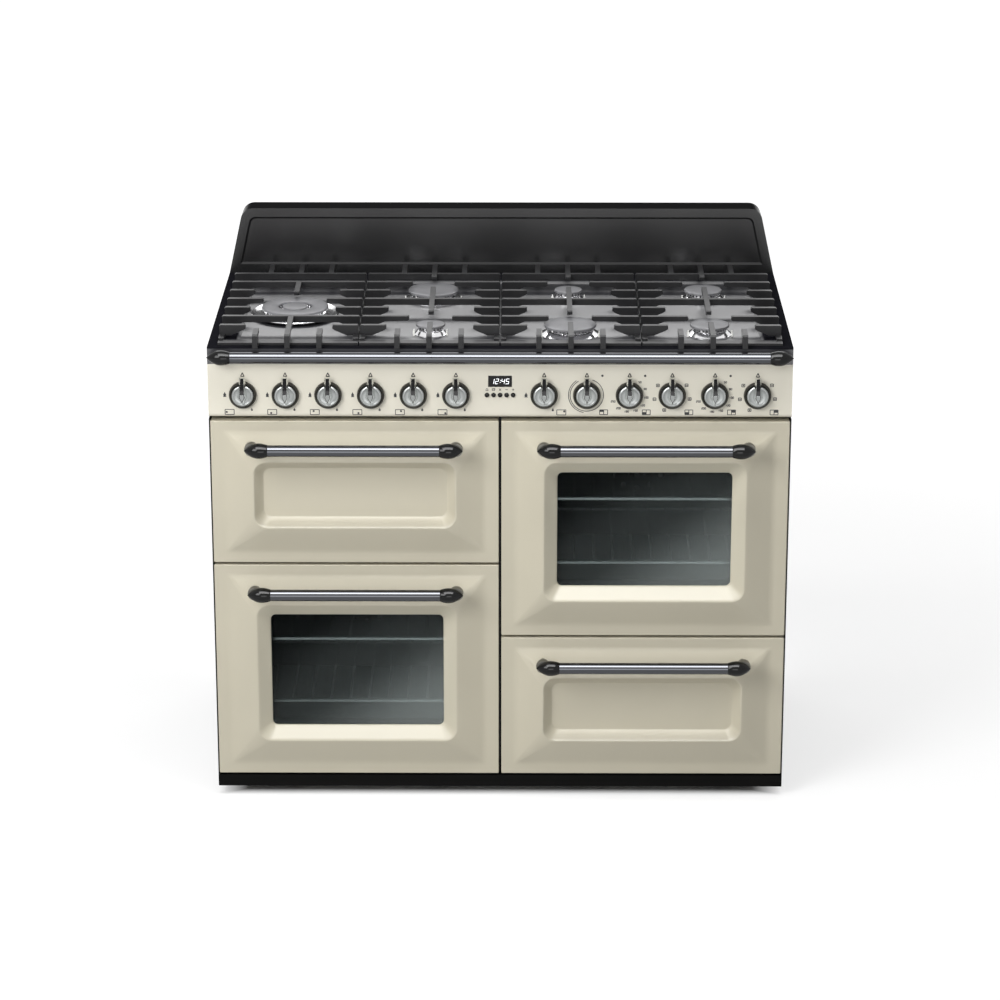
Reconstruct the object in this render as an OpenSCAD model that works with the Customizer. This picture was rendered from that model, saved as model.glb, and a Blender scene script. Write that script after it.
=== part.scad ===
// Free-standing range cooker: seven gas burners, two ovens, a grill and a storage drawer.
// Millimetres. X runs to the right, Y from front to back and Z up from the floor.
// The origin is on the floor, midway across the width and midway between handles and back.

/* [Body] */
// Overall width
body_w = 1100; // [1080:5:1200]
// Depth from the hob's front edge to the back
body_d = 600; // [580:5:680]
// Free height under the plinth
foot_h = 19; // [14:1:60]
// Height of the plinth
plinth_h = 23; // [20:1:60]
// Gap between the plinth and the lowest fronts
plinth_gap = 4; // [3.6:0.1:8]
// Gap between one front and the next
front_gap = 5; // [4:0.5:8]
// Gap between the top fronts and the control fascia
fascia_gap = 8; // [4:0.5:14]
// Running gap between a front and the side panel
side_gap = 1; // [0.6:0.1:2]
// Height of the two tall fronts, one on each oven
tall_h = 431; // [415:1:480]
// Height of the two small fronts, on the grill and the drawer
small_h = 283; // [265:1:320]
// Height of the control fascia
fascia_h = 104; // [98:1:130]
// Height of the black band from the fascia up to the hob's rim
band_h = 33; // [32:1:45]
// Sheet thickness of the carcass
sheet = 1.5; // [1:0.1:2.5]
// How far the rear panel is set in from the back
rear_inset = 25; // [22:1:40]

/* [Fronts] */
// Depth of a front from its border face to its back
door_d = 38; // [36:1:44]
// Wall thickness of the pressed fronts
skin = 3; // [2:0.25:3.5]
// Width of the flat border at the sides
border_w = 28; // [18:1:36]
// Height of the flat border at the top and bottom
border_h = 23; // [15:1:30]
// Width of the slope from the border up to the lip
slope_w = 51; // [35:1:55]
// How far the lip stands in front of the border
lip_out = 19.5; // [10:0.5:26]
// Width of the flat land on top of the lip
lip_land = 3; // [1:0.5:5]
// Corner radius of the lip's outline
lip_r = 26; // [18:1:40]
// Width of the wall from the lip in to a window
window_wall = 24; // [16:1:30]
// Width of the wall from the lip in to a blank recess
blank_wall = 15; // [10:1:20]
// Corner radius of a window
window_r = 10; // [6:1:16]
// Corner radius of a blank recess
blank_r = 16; // [8:1:22]
// Radius of a front's outer edge
edge_r = 2; // [1:0.25:3]
// Reach of the soft bends along the lip and the border
bend = 6; // [2:0.5:8]
// Thickness of a glass pane
glass_t = 4; // [3:0.5:5]
// Sheet thickness of a front's inner liner
liner_t = 2; // [1.2:0.1:3]
// Height of the hinge axis above a door's lower edge
hinge_up = 14; // [13:0.5:18]
// Depth of the hinge axis behind a door's border face
hinge_in = 10; // [9.6:0.2:12]
// Diameter of the hinge pins
pin_d = 6; // [5:0.5:7]
// Thickness of each fixed hinge bracket
bracket_t = 5; // [4:0.5:6]
// Distance of each hinge from the door's side edge
hinge_inset = 60; // [50:1:80]

/* [Handles] */
// Diameter of a handle's bar, and of the front rail
bar_d = 22; // [16:1:24]
// Free length of a handle's bar between its ends
bar_l = 322; // [260:2:340]
// Length of a handle's end cap
cap_l = 44.5; // [38:0.5:50]
// Greatest diameter of an end cap
cap_d = 29; // [26:0.5:32]
// Diameter of a cap at its flat end
cap_mouth_d = 22.5; // [22:0.5:24]
// Distance from the bar's axis to the front's border face
handle_out = 58; // [45:1:70]
// Distance of the bar's axis below the front's upper edge
handle_drop = 41; // [38:1:50]
// Diameter of a handle's post at the cap
post_top_d = 20; // [14:1:22]
// Diameter of a handle's post at its foot
post_foot_d = 27; // [20:1:30]
// Distance from a cap's flat end to its post's axis
post_in = 31; // [24:1:33]
// Distance from the rail's axis to the black band
rail_out = 18; // [14:1:26]
// Distance of the rail's axis below the hob's rim
rail_drop = 15.5; // [14.6:0.1:17]

/* [Controls] */
// Distance of the first knob from the middle
knob_first = 83; // [78:1:86]
// Distance from one knob to the next
knob_pitch = 80.3; // [76:0.1:82]
// Distance of the knobs' axes below the fascia's upper edge
knob_drop = 60; // [52:1:62]
// Outer diameter of a knob's bezel
bezel_d = 52; // [46:1:56]
// How far a bezel stands in front of the fascia
bezel_out = 8; // [5:0.5:10]
// Diameter of a knob's disc
knob_d = 41; // [36:0.5:43]
// How far a knob's disc stands in front of the fascia
knob_out = 12; // [11:0.5:14]
// How far a knob's lever stands in front of the fascia
lever_out = 25; // [18:0.5:30]
// Reach of a lever's tip from the knob's axis
lever_reach = 33; // [29:0.5:35]
// Width of a lever on its disc
lever_w = 19; // [14:0.5:22]
// Width of a lever's front ridge
ridge_w = 8; // [5:0.5:10]
// Diameter of a knob's spindle
spindle_d = 6; // [5:0.5:8]
// Width of the clock window
clock_w = 44.7; // [38:0.1:50]
// Height of the clock window
clock_h = 21.8; // [18:0.1:24]
// Distance of the clock window's middle below the fascia's upper edge
clock_drop = 33; // [28:1:36]
// Diameter of a clock button
button_d = 8.4; // [7:0.1:9]
// Distance from one clock button to the next
button_pitch = 12.3; // [12:0.1:13]
// How far a clock button stands in front of the fascia
button_out = 3; // [2.2:0.1:4]
// Travel of a clock button
button_travel = 1.5; // [0.8:0.1:1.8]
// Depth of the fascia's returns
fascia_d = 20; // [16:1:26]
// Edge radius along the fascia's lower edge
fascia_r = 7; // [3:0.5:10]

/* [Hob] */
// Depth of the hob's well below its rim
well_depth = 8; // [5:0.5:10]
// Width of the bevel round the well
well_bevel = 9; // [5:1:14]
// Width of the rim at the left and right of the well
rim_side = 48; // [40:1:60]
// Width of the rim in front of the well
rim_front = 36; // [34:1:44]
// Distance of the well's rear edge behind the hob's front edge
well_back = 500; // [485:1:510]
// Height of the pan supports above the rim
support_h = 27; // [24:1:32]
// Width of one pan support with its gap
support_pitch = 266; // [255:1:268]
// Gap between neighbouring pan supports
support_gap = 3; // [1.5:0.5:5]
// Thickness of a pan support's finger
finger_t = 10; // [7:0.5:12]
// Height of a finger at its tip
tip_h = 9; // [7:0.5:9.5]
// Height of a finger at its root
root_h = 20; // [16:1:22]
// Distance of the first row of fingers behind the hob's front edge
row_first = 62; // [58:1:64]
// Distance from one row of fingers to the next
row_pitch = 63.3; // [60:0.1:64]
// Height of the burner caps above the rim
cap_top = 12; // [10:0.5:13]
// Thickness of a burner cap
burner_cap_t = 5; // [3.5:0.5:6]
// Cap diameter of the large burner
large_d = 100; // [92:1:104]
// Cap diameter of the medium burners
medium_d = 75; // [68:1:80]
// Cap diameter of the small burners
small_d = 55; // [48:1:60]
// Crown diameter of the wok burner
wok_d = 130; // [120:1:134]
// Diameter of the wok burner's polished bowl
bowl_d = 171; // [160:1:176]

/* [Splashback] */
// Height of the splashback above the rim
splash_h = 134; // [100:1:200]
// Depth of the splashback
splash_d = 53; // [40:1:60]
// How much narrower each end of the splashback is at its top
splash_taper = 29.6; // [10:0.2:50]
// Radius of the splashback's upper corners
splash_r = 26; // [10:1:36]
// Margin round the splashback's recessed panel
panel_margin = 18; // [12:1:26]
// Depth of the splashback's recessed panel
panel_depth = 4; // [2:0.5:6]

/* [Ovens] */
// Width of an oven's mouth
cavity_w = 440; // [400:2:450]
// Height of an oven's mouth
cavity_h = 335; // [310:1:340]
// Height of the grill's mouth
grill_h = 190; // [170:1:195]
// Depth of the cavities
cavity_d = 410; // [380:2:420]
// Height of each mouth above the lower edge of its door
mouth_up = 48; // [44:1:52]
// Corner radius of the cavities
cavity_r = 18; // [10:1:30]
// Diameter of an oven fan
fan_d = 130; // [100:2:150]
// Depth of the fan's chamber behind its cover
chamber_d = 36; // [32:1:44]

/* [Drawer] */
// Inner width of the drawer's box
drawer_w = 440; // [380:2:450]
// Height of the drawer's box
drawer_h = 180; // [140:1:200]
// Depth of the drawer's box
drawer_d = 430; // [380:2:450]
// Height of a runner's slide bar
runner_h = 20; // [16:1:26]

/* [Hidden] */
$fn = 48;

thin = 0.01;         // thickness of the sections that a hull spans
over = 1;            // how far a cut runs past the face that it opens
run_gap = 0.4;       // clearance between sliding or lifting pieces
pin_gap = 0.05;      // radial clearance of a pin or spindle in its bore

// Colours
cream = [0.86, 0.83, 0.76];
black = [0.08, 0.08, 0.09];
steel = [0.62, 0.63, 0.65];
chrome = [0.83, 0.84, 0.86];
iron = [0.16, 0.16, 0.17];
enamel = [0.2, 0.2, 0.23];
brass = [0.75, 0.6, 0.3];

// Front to back
reach = handle_out + cap_d / 2;              // the handles' reach in front of the fronts
front_y = reach - (body_d + reach) / 2;      // border face of the fronts, and the hob's front edge
back_y = front_y + body_d;
seal_d = 6;                                  // space for the seals between doors and frame
frame_y = front_y + door_d + seal_d;         // front face of the carcass's frame
rear_y = back_y - rear_inset;                // outer face of the rear panel

// Floor to hob
chassis_z = foot_h + plinth_h;               // top of the base chassis and of the plinth
low_z = chassis_z + plinth_gap;              // lower edge of the lowest fronts
grill_z = low_z + tall_h + front_gap;        // lower edge of the grill door
right_z = low_z + small_h + front_gap;       // lower edge of the right oven's door
fronts_z = grill_z + small_h;                // upper edge of the top fronts
fascia_z = fronts_z + fascia_gap;            // lower edge of the fascia
band_z = fascia_z + fascia_h;                // upper edge of the fascia
rim_z = band_z + band_h;                     // the hob's rim

// The two columns of fronts
middle_gap = front_gap;
front_w = body_w / 2 - sheet - side_gap - middle_gap / 2;
column_x = (front_w + middle_gap) / 2;       // centre of the right column; the left one mirrors it
lip_w = front_w - 2 * (border_w + slope_w);  // width of the lip's outline
lip_inset = border_h + slope_w;              // distance of the lip from a front's upper edge

// Mouths of the ovens
left_mouth_z = low_z + mouth_up;
right_mouth_z = right_z + mouth_up;
grill_mouth_z = grill_z + mouth_up;

// Knobs and burners
knob_z = band_z - knob_drop;
knob_x = [for (k = [0:11]) (k < 6 ? -1 : 1) * (knob_first + knob_pitch * (k < 6 ? 5 - k : k - 6))];
front_row = row_first + row_pitch;           // depth of the front burners
wok_row = row_first + 3 * row_pitch;         // depth of the wok burner
rear_row = row_first + 5 * row_pitch;        // depth of the rear burners
well_z = rim_z - well_depth;
support_w = support_pitch - support_gap;
function section_x(i) = (i - 2.5) * support_pitch;
// Each ring burner: its place across, its depth behind the hob's front edge and its cap diameter
burners = [[section_x(2), front_row, small_d], [section_x(2), rear_row, large_d],
    [section_x(3), front_row, large_d], [section_x(3), rear_row, small_d],
    [section_x(4), front_row, medium_d], [section_x(4), rear_row, medium_d]];
wok_pos = [section_x(1), wok_row];

// ---------- helpers ----------

// Outline of a rectangle with rounded corners, centred
function rounded(w, h, r, n = 5) = [for (q = [0:3], i = [0:n])
    let (a = 90 * q + 90 * i / n, sx = q == 0 || q == 3 ? 1 : -1, sy = q < 2 ? 1 : -1)
    [sx * (w / 2 - r) + r * cos(a), sy * (h / 2 - r) + r * sin(a)]];

// Extrudes its flat child, drawn in X and Z, from y back over a depth
module slab(y, depth) {
    translate([0, y + depth, 0]) rotate([90, 0, 0]) linear_extrude(depth) children();
}

// Upright plate with rounded corners, its lower edge at z = 0
module plate(w, h, r, y, depth, z = 0) {
    slab(y, depth) translate([0, z + h / 2]) polygon(rounded(w, h, r));
}

// Cylinder along Y, from y back over a length
module rod_y(x, y, z, d, length) {
    translate([x, y + length, z]) rotate([90, 0, 0]) cylinder(d = d, h = length);
}

// Cylinder along X, centred on x
module rod_x(x, y, z, d, length) {
    translate([x - length / 2, y, z]) rotate([0, 90, 0]) cylinder(d = d, h = length);
}

// Draws its children in the right column, or in the left one
module column(side) {
    translate([side * column_x, 0, 0]) children();
}

// ---------- pressed fronts: border face at y = 0, lower edge at z = 0 ----------

border_r = 4;        // corner radius where the slope leaves the border
seat_w = 4;          // width of the seat behind a window's edge, on which the pane lies
liner_r = edge_r + 1;                // corner radius of what fits inside a front's back edge
post_gap = 0.1;      // clearance between the posts of a handle and the slope that they stand on

function window_w() = lip_w - 2 * (lip_land + window_wall);
function window_h(h) = h - 2 * (lip_inset + lip_land + window_wall);
function window_z() = lip_inset + lip_land + window_wall;

// A front is lofted through sections: [inset at the sides, inset above and below, depth, radius]
function lip_section(more, shift) =
    [border_w + slope_w + more, lip_inset + more, shift - lip_out, lip_r - more];

// Bends from the edge of the front in to its recess, on the outside
function outer_bends(wall, r) = [
    [0, 0, 0, edge_r],
    [border_w, border_h, 0, border_r],
    lip_section(0, 0),
    lip_section(lip_land, 0),
    [border_w + slope_w + lip_land + wall, lip_inset + lip_land + wall, 0, r]];

// Rounds each bend of a chain of sections, over a reach of its own
function share(a, b, reach) = min(0.48, reach / norm([a[1] - b[1], a[2] - b[2]]));
function rounded_bend(a, p, b, reach, n = 3) =
    let (from = p + (a - p) * share(a, p, reach), to = p + (b - p) * share(b, p, reach))
    [for (i = [0:n]) let (t = i / n) (1 - t) * (1 - t) * from + 2 * t * (1 - t) * p + t * t * to];

// Sections of the whole shell, from the middle of the recess out, round the back edge and in again
function shell_sections(h, wall, r, window) = let (
    bends = outer_bends(wall, r),
    foot = bends[4],
    last = window ? foot + [0, 0, skin, 0] : foot + [seat_w, seat_w, 0, -seat_w],
    outer = [[0, 0, door_d, edge_r], each bends, last],
    reach = [edge_r, bend, bend, bend, window ? edge_r : bend],
    smooth = [outer[0], for (k = [1:5]) each rounded_bend(outer[k - 1], outer[k], outer[k + 1],
        reach[k - 1])],
    inner = [[skin, skin, door_d, edge_r], [skin, skin, skin, edge_r],
        bends[1] + [0, 0, skin, 0], lip_section(0, skin), lip_section(lip_land, skin),
        foot + [window ? -seat_w : 0, window ? -seat_w : 0, skin, 0],
        window ? foot + [0, 0, skin, 0] : last + [0, 0, skin, 0]])
    concat(window ? [] : [last], [for (k = [len(smooth) - 1:-1:0]) smooth[k]], inner);

// Shell through the rings of its sections; it closes on itself round a window
module shell(h, sections, window) {
    arc = 6;
    n = 4 * (arc + 1);
    m = len(sections);
    rings = [for (s = sections)
        [for (p = rounded(front_w - 2 * s[0], h - 2 * s[1], s[3], arc)) [p[0], s[2], p[1] + h / 2]]];
    bands = [for (k = [0:m - (window ? 1 : 2)], j = [0:n - 1])
        let (a = k * n, b = (k + 1) % m * n, i = (j + 1) % n) each
        [[a + j, a + i, b + i], [a + j, b + i, b + j]]];
    caps = window ? [] : [[for (j = [n - 1:-1:0]) j], [for (j = [0:n - 1]) (m - 1) * n + j]];
    polyhedron([for (r = rings) each r], concat(bands, caps));
}

module pressed_front(h, wall, r, window) {
    shell(h, shell_sections(h, wall, r, window), window);
}

// Sharp form of the slope with its clearance, which the posts of a handle end on
module raised_form(h) {
    hull() {
        slab(-post_gap, post_gap) translate([0, h / 2])
            polygon(rounded(front_w - 2 * border_w, h - 2 * border_h, border_r));
        slab(-post_gap - lip_out, thin) translate([0, h / 2])
            polygon(rounded(lip_w, h - 2 * lip_inset, lip_r));
    }
}

pane_lap = 8;        // how far a pane runs behind the edge of its window

// Cuts in a door that let it swing round the fixed hinge brackets
module hinge_slots() {
    slot_w = bracket_t + 3;
    slot_top = hinge_up + bracket_h / 2 + 1.5;
    for (s = [-1, 1]) translate([s * (front_w / 2 - hinge_inset) - slot_w / 2, skin + 0.4, -over])
        cube([slot_w, door_d, slot_top + over]);
}

bracket_h = 10;                      // height of a hinge bracket
knuckle_d = pin_d + 5;               // diameter of the knuckles round a hinge pin
knuckle_t = 5;                       // width of one knuckle

// Two knuckles on a door's liner, one on each side of the fixed bracket
module hinge_knuckles() {
    for (s = [-1, 1], k = [-1, 1]) {
        x = s * (front_w / 2 - hinge_inset) + k * (bracket_t / 2 + 1 + knuckle_t / 2);
        difference() {
            union() {
                rod_x(x, hinge_in, hinge_up, knuckle_d, knuckle_t);
                translate([x - knuckle_t / 2, hinge_in, hinge_up - knuckle_d / 2])
                    cube([knuckle_t, door_d - liner_t - hinge_in, knuckle_d]);
            }
            rod_x(x, hinge_in, hinge_up, pin_d + 2 * pin_gap, knuckle_t + 2 * over);
        }
    }
}

module door_liner(h, window, hinged) {
    difference() {
        plate(front_w - 2 * skin, h - 2 * skin, liner_r, door_d - liner_t, liner_t, skin);
        if (window)
            plate(window_w(), window_h(h), window_r, door_d - liner_t - over, liner_t + 2 * over,
                window_z());
        if (hinged) hinge_slots();
    }
    if (hinged) hinge_knuckles();
}

module door_panes(h) {
    for (y = [skin, door_d - liner_t - glass_t])
        plate(window_w() + 2 * pane_lap, window_h(h) + 2 * pane_lap, window_r + pane_lap,
            y, glass_t, window_z() - pane_lap);
}

module door_panel(h, window, hinged) {
    difference() {
        pressed_front(h, window ? window_wall : blank_wall, window ? window_r : blank_r, window);
        if (hinged) hinge_slots();
    }
}

// Half outline of an end cap: a leaf with a flat mouth and a pointed tip
cap_swell = 0.37;    // where a cap is thickest, as a part of its length
function cap_radius(t) = t < cap_swell
    ? cap_mouth_d / 2 + (cap_d - cap_mouth_d) / 2 * sin(90 * t / cap_swell)
    : cap_d / 2 * (1 - pow((t - cap_swell) / (1 - cap_swell), 2.2));

// End cap on the X axis, with its mouth at x = 0 and its tip to the right
module end_cap() {
    steps = 14;
    rotate([0, 90, 0]) rotate_extrude()
        polygon(concat([[0, 0]], [for (i = [0:steps - 1]) [cap_radius(i / steps), cap_l * i / steps]],
            [[0, cap_l]]));
}

// Bar with two caps on posts; foot is the front's height, whose pressing the posts stand on
module bar_handle(h) {
    z = h - handle_drop;
    rod_x(0, -handle_out, z, bar_d, bar_l);
    for (s = [0, 1]) mirror([s, 0, 0]) difference() {
        union() {
            translate([bar_l / 2, -handle_out, z]) end_cap();
            translate([bar_l / 2 + post_in, -handle_out, z]) rotate([-90, 0, 0])
                cylinder(d1 = post_top_d, d2 = post_foot_d, h = handle_out - post_gap);
        }
        raised_form(h);
    }
}

// ---------- carcass ----------

module side_panels() {
    lap = 15;        // width of the folded flanges
    color(black) for (s = [0, 1]) mirror([s, 0, 0]) {
        translate([body_w / 2 - sheet, 0, 0]) rotate([90, 0, 90]) linear_extrude(sheet)
            polygon([[front_y + over, chassis_z], [back_y, chassis_z], [back_y, band_z],
                [front_y + fascia_d, band_z], [front_y + fascia_d, fascia_z - fascia_gap / 2],
                [front_y + over, fascia_z - fascia_gap / 2]]);
        translate([body_w / 2 - sheet - lap, rear_y - 2 * sheet, chassis_z])
            cube([lap, sheet, band_z - chassis_z]);
        translate([body_w / 2 - sheet - lap, frame_y + 2 * sheet, chassis_z])
            cube([lap, rear_y - frame_y - 6 * sheet, sheet]);
    }
}

inlet_x = 430;       // place of the gas inlet across the back
inlet_d = 20.9;      // outer diameter of the gas inlet's thread
gland_x = -430;      // place of the mains gland across the back
gland_bore = 12;     // bore of the mains gland
gland_z = 150;       // height of the mains gland
pipe_z = knob_z;     // height of the gas manifold and its inlet

vent = [90, 5];      // width and height of one vent
vent_step = [120, 14];               // distance from one vent to the next, across and down

module rear_panel() {
    w = body_w - 2 * sheet;
    color(steel) {
        difference() {
            translate([-w / 2, rear_y - sheet, chassis_z]) cube([w, sheet, band_z - chassis_z]);
            for (i = [-2:2], k = [0:5])
                translate([i * vent_step[0] - vent[0] / 2, rear_y - sheet - over,
                    fascia_z - 30 - k * vent_step[1]])
                    cube([vent[0], sheet + 2 * over, vent[1]]);
            rod_y(inlet_x, rear_y - sheet - over, pipe_z, inlet_d + 4, sheet + 2 * over);
            rod_y(gland_x, rear_y - sheet - over, gland_z, gland_bore + 8, sheet + 2 * over);
        }
        difference() {
            union() {
                rod_y(gland_x, rear_y - sheet - 8, gland_z, gland_bore + 8, sheet + 18);
                rod_y(gland_x, rear_y, gland_z, gland_bore + 16, 6);
            }
            rod_y(gland_x, rear_y - 20, gland_z, gland_bore, 40);
        }
    }
}

chassis_front = front_y + 40;        // front flange of the chassis, behind the plinth
chassis_t = 2;                       // sheet thickness of the chassis
drawer_up = 30;                      // height of the drawer's box above the lower edge of its front
runner_up = 30;                      // height of the slide bars above the underside of the box
runner_z = low_z + drawer_up + runner_up;            // lower edge of the drawer's slide bars
runner_w = 8;                        // thickness of a slide bar
runner_x = drawer_w / 2 + chassis_t + runner_w;      // outer face of a slide bar
runner_y = frame_y + 2 * chassis_t;                  // front end of the fixed channels

module base_chassis() {
    w = body_w - 2 * sheet;
    depth = rear_y - sheet - chassis_front;
    channel_h = runner_h + 2 * run_gap + 2 * chassis_t;
    color(steel) {
        difference() {
            translate([-w / 2, chassis_front, foot_h]) cube([w, depth, plinth_h]);
            translate([-w / 2 + chassis_t, chassis_front + chassis_t, foot_h - over])
                cube([w - 2 * chassis_t, depth - 2 * chassis_t, plinth_h - chassis_t + over]);
        }
        // Fixed channels of the drawer's runners, on two posts each
        column(1) for (s = [0, 1]) mirror([s, 0, 0]) {
            difference() {
                translate([runner_x - runner_w + 1, runner_y, runner_z - run_gap - chassis_t])
                    cube([runner_w + run_gap + chassis_t - 1, drawer_d, channel_h]);
                translate([runner_x - runner_w, runner_y - over, runner_z - run_gap])
                    cube([runner_w + run_gap, drawer_d + 2 * over, runner_h + 2 * run_gap]);
            }
            for (y = [runner_y + 10, runner_y + drawer_d - 40])
                translate([runner_x + run_gap, y, chassis_z - thin])
                    cube([chassis_t, 30, runner_z - chassis_z]);
        }
    }
}

foot_in = 75;        // distance of the feet from the sides and the flanges

module levelling_feet() {
    for (x = [-1, 1], y = [chassis_front + foot_in, rear_y - foot_in])
        color(black) translate([x * (body_w / 2 - foot_in), y, 0]) {
            cylinder(d1 = 44, d2 = 36, h = 8);
            cylinder(d = 26, h = 13);
            cylinder(d = 12, h = chassis_z - chassis_t);
        }
}

module plinth() {
    return_d = 38;
    color(black) {
        difference() {
            translate([-body_w / 2, front_y, foot_h]) cube([body_w, return_d, plinth_h]);
            translate([-body_w / 2 + chassis_t, front_y + chassis_t, foot_h - over])
                cube([body_w - 2 * chassis_t, return_d, plinth_h + 2 * over]);
        }
        // Spring brackets that hold the plinth on the chassis
        for (x = [-420, -140, 140, 420])
            translate([x - 15, front_y + chassis_t - thin, foot_h + 4])
                cube([30, chassis_front - front_y - chassis_t + thin, 2]);
    }
}

// Openings in the frame: side of the cooker, lower edge, width and height
mouths = [[-1, left_mouth_z, cavity_w, cavity_h], [-1, grill_mouth_z, cavity_w, grill_h],
    [1, right_mouth_z, cavity_w, cavity_h]];
drawer_z = low_z + drawer_up;        // underside of the drawer's box
drawer_mouth_w = 2 * (runner_x + run_gap + chassis_t) + 2;
mouth_gap = 8;       // gap round the drawer's box in the frame

module front_frame() {
    w = body_w - 2 * sheet;
    color(black) difference() {
        translate([-w / 2, frame_y, chassis_z]) cube([w, chassis_t, fronts_z + 3 - chassis_z]);
        for (m = mouths) column(m[0])
            translate([-m[2] / 2, frame_y - over, m[1]]) cube([m[2], chassis_t + 2 * over, m[3]]);
        column(1) translate([-drawer_mouth_w / 2, frame_y - over, drawer_z - mouth_gap])
            cube([drawer_mouth_w, chassis_t + 2 * over, drawer_h + 2 * mouth_gap]);
    }
    for (d = [[-1, low_z], [-1, grill_z], [1, right_z]]) column(d[0]) hinge_brackets(d[1]);
}

// Two fixed brackets, each with a pin on which the door's knuckles turn
module hinge_brackets(z) {
    pin_l = bracket_t + 2 * (1 + knuckle_t);
    color(steel) for (s = [-1, 1]) {
        x = s * (front_w / 2 - hinge_inset);
        translate([x - bracket_t / 2, front_y + hinge_in, z + hinge_up - bracket_h / 2])
            cube([bracket_t, frame_y - front_y - hinge_in + thin, bracket_h]);
        rod_x(x, front_y + hinge_in, z + hinge_up, bracket_h, bracket_t);
        rod_x(x, front_y + hinge_in, z + hinge_up, pin_d, pin_l);
    }
}

// Sheet box, open at the front, with a flange that lies against the frame
module cavity(w, h, z, fan) {
    y = frame_y + chassis_t;
    lap = 12;
    fan_z = z + h / 2;
    back = y + cavity_d;
    color(iron) difference() {
        union() {
            plate(w + 2 * sheet, h + 2 * sheet, cavity_r + sheet, y, cavity_d, z - sheet);
            plate(w + 2 * lap, h + 2 * lap, cavity_r + lap, y, sheet, z - lap);
        }
        plate(w, h, cavity_r, y - over, cavity_d - sheet + over, z);
        if (fan) rod_y(0, back - 2 * sheet, fan_z, 14, 4 * sheet);
    }
    // Fan cover: a flat plate on four corner legs, with a ring of holes before the fan
    if (fan) color(steel) {
        side = fan_d + 90;
        difference() {
            plate(side, side, 20, back - sheet - chamber_d, sheet, fan_z - side / 2);
            for (r = [0.2, 0.42], a = [0:30:330])
                rod_y(r * fan_d * cos(a), back - sheet - chamber_d - over, fan_z + r * fan_d * sin(a),
                    0.09 * fan_d, 3 * sheet);
        }
        for (sx = [-1, 1], sz = [-1, 1])
            rod_y(sx * (side / 2 - 15), back - sheet - chamber_d + sheet / 2,
                fan_z + sz * (side / 2 - 15), 8, chamber_d - sheet / 2 + thin);
    }
}

module left_oven_cavity() {
    column(-1) cavity(cavity_w, cavity_h, left_mouth_z, true);
}

module right_oven_cavity() {
    column(1) cavity(cavity_w, cavity_h, right_mouth_z, true);
}

module grill_cavity() {
    column(-1) cavity(cavity_w, grill_h, grill_mouth_z, false);
}

// ---------- inside the ovens ----------

wire = 5;            // thickness of the shelves' wires
rung_z = [70, 135, 200, 265];        // heights of the runner rungs above an oven's floor
shelf_d = cavity_d - chamber_d - 40; // depth of a shelf

// Side runners on the walls of a cavity, w wide, with rungs at the given heights
module side_runners(w, z, rungs) {
    y = frame_y + 20;
    top = rungs[len(rungs) - 1] + 20;
    for (s = [0, 1]) mirror([s, 0, 0]) {
        translate([w / 2 - wire, y, z + 20]) {
            for (v = [0, shelf_d - wire]) translate([0, v, 0]) cube([wire, wire, top - 20]);
            for (r = rungs) translate([-wire, 0, r - 20]) cube([2 * wire, shelf_d, wire]);
        }
    }
}

// Wire shelf resting on a rung
module wire_shelf(w, z) {
    sw = w - 2 * wire - 2;
    wires = 11;
    translate([-sw / 2, frame_y + 20, z]) linear_extrude(wire) difference() {
        square([sw, shelf_d]);
        for (i = [0:wires - 1])
            translate([2 * wire + i * (sw - 3 * wire) / wires, 2 * wire])
                square([(sw - 3 * wire) / wires - wire, shelf_d - 4 * wire]);
    }
}

module oven_shelves() {
    color(chrome) for (m = mouths) column(m[0]) {
        rungs = m[3] == cavity_h ? rung_z : [60, 110];
        side_runners(m[2], m[1], rungs);
        wire_shelf(m[2], m[1] + rungs[0] + wire + 0.3);
        if (len(rungs) > 2) wire_shelf(m[2], m[1] + rungs[2] + wire + 0.3);
    }
}

rod_d = 7;           // diameter of the heating rods
function wall_y() = frame_y + chassis_t + cavity_d - sheet;  // inner face of a cavity's back

module heating_elements() {
    color(steel) {
        // Ring elements round the fans
        for (m = [mouths[0], mouths[2]]) column(m[0]) translate([0, 0, m[1] + m[3] / 2]) {
            ring_y = wall_y() - chamber_d / 2;
            translate([0, ring_y, 0]) rotate([90, 0, 0]) rotate_extrude()
                translate([fan_d / 2 + 18, 0]) circle(d = rod_d, $fn = 16);
            for (x = [-12, 12]) rod_y(x, ring_y, -fan_d / 2 - 16.5, rod_d - 1, wall_y() - ring_y);
        }
        // Grill element: loops under the grill's roof, held by its back wall
        loops = 5;
        loop_w = (cavity_w - 60) / loops;
        column(-1) translate([0, 0, grill_mouth_z + grill_h - 30]) linear_extrude(rod_d) {
            for (i = [0:loops]) translate([(i - loops / 2) * loop_w - rod_d / 2, frame_y + 60])
                square([rod_d, cavity_d - 100]);
            for (i = [0:loops - 1])
                translate([(i - loops / 2) * loop_w - rod_d / 2,
                    frame_y + 60 + (i % 2 == 0 ? 0 : cavity_d - 100 - rod_d)])
                    square([loop_w + rod_d, rod_d]);
            for (i = [0, loops]) translate([(i - loops / 2) * loop_w - rod_d / 2, wall_y() - 60])
                square([rod_d, 60]);
        }
    }
}

module door_seals() {
    seal_w = 9;
    color(black) for (m = mouths) column(m[0]) difference() {
        plate(m[2] + 2 * seal_w + 6, m[3] + 2 * seal_w + 6, cavity_r + seal_w + 3,
            frame_y - seal_d + run_gap, seal_d - run_gap, m[1] - seal_w - 3);
        plate(m[2] + 6, m[3] + 6, cavity_r + 3, frame_y - seal_d - over, seal_d + 2 * over, m[1] - 3);
    }
}

fan_shaft = 8;       // diameter of a fan's shaft
motor_d = 66;        // diameter of a fan's motor
motor_l = 34;        // length of a fan's motor
motor_y = frame_y + chassis_t + cavity_d;    // outer face of a cavity's back, where a motor sits

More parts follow.
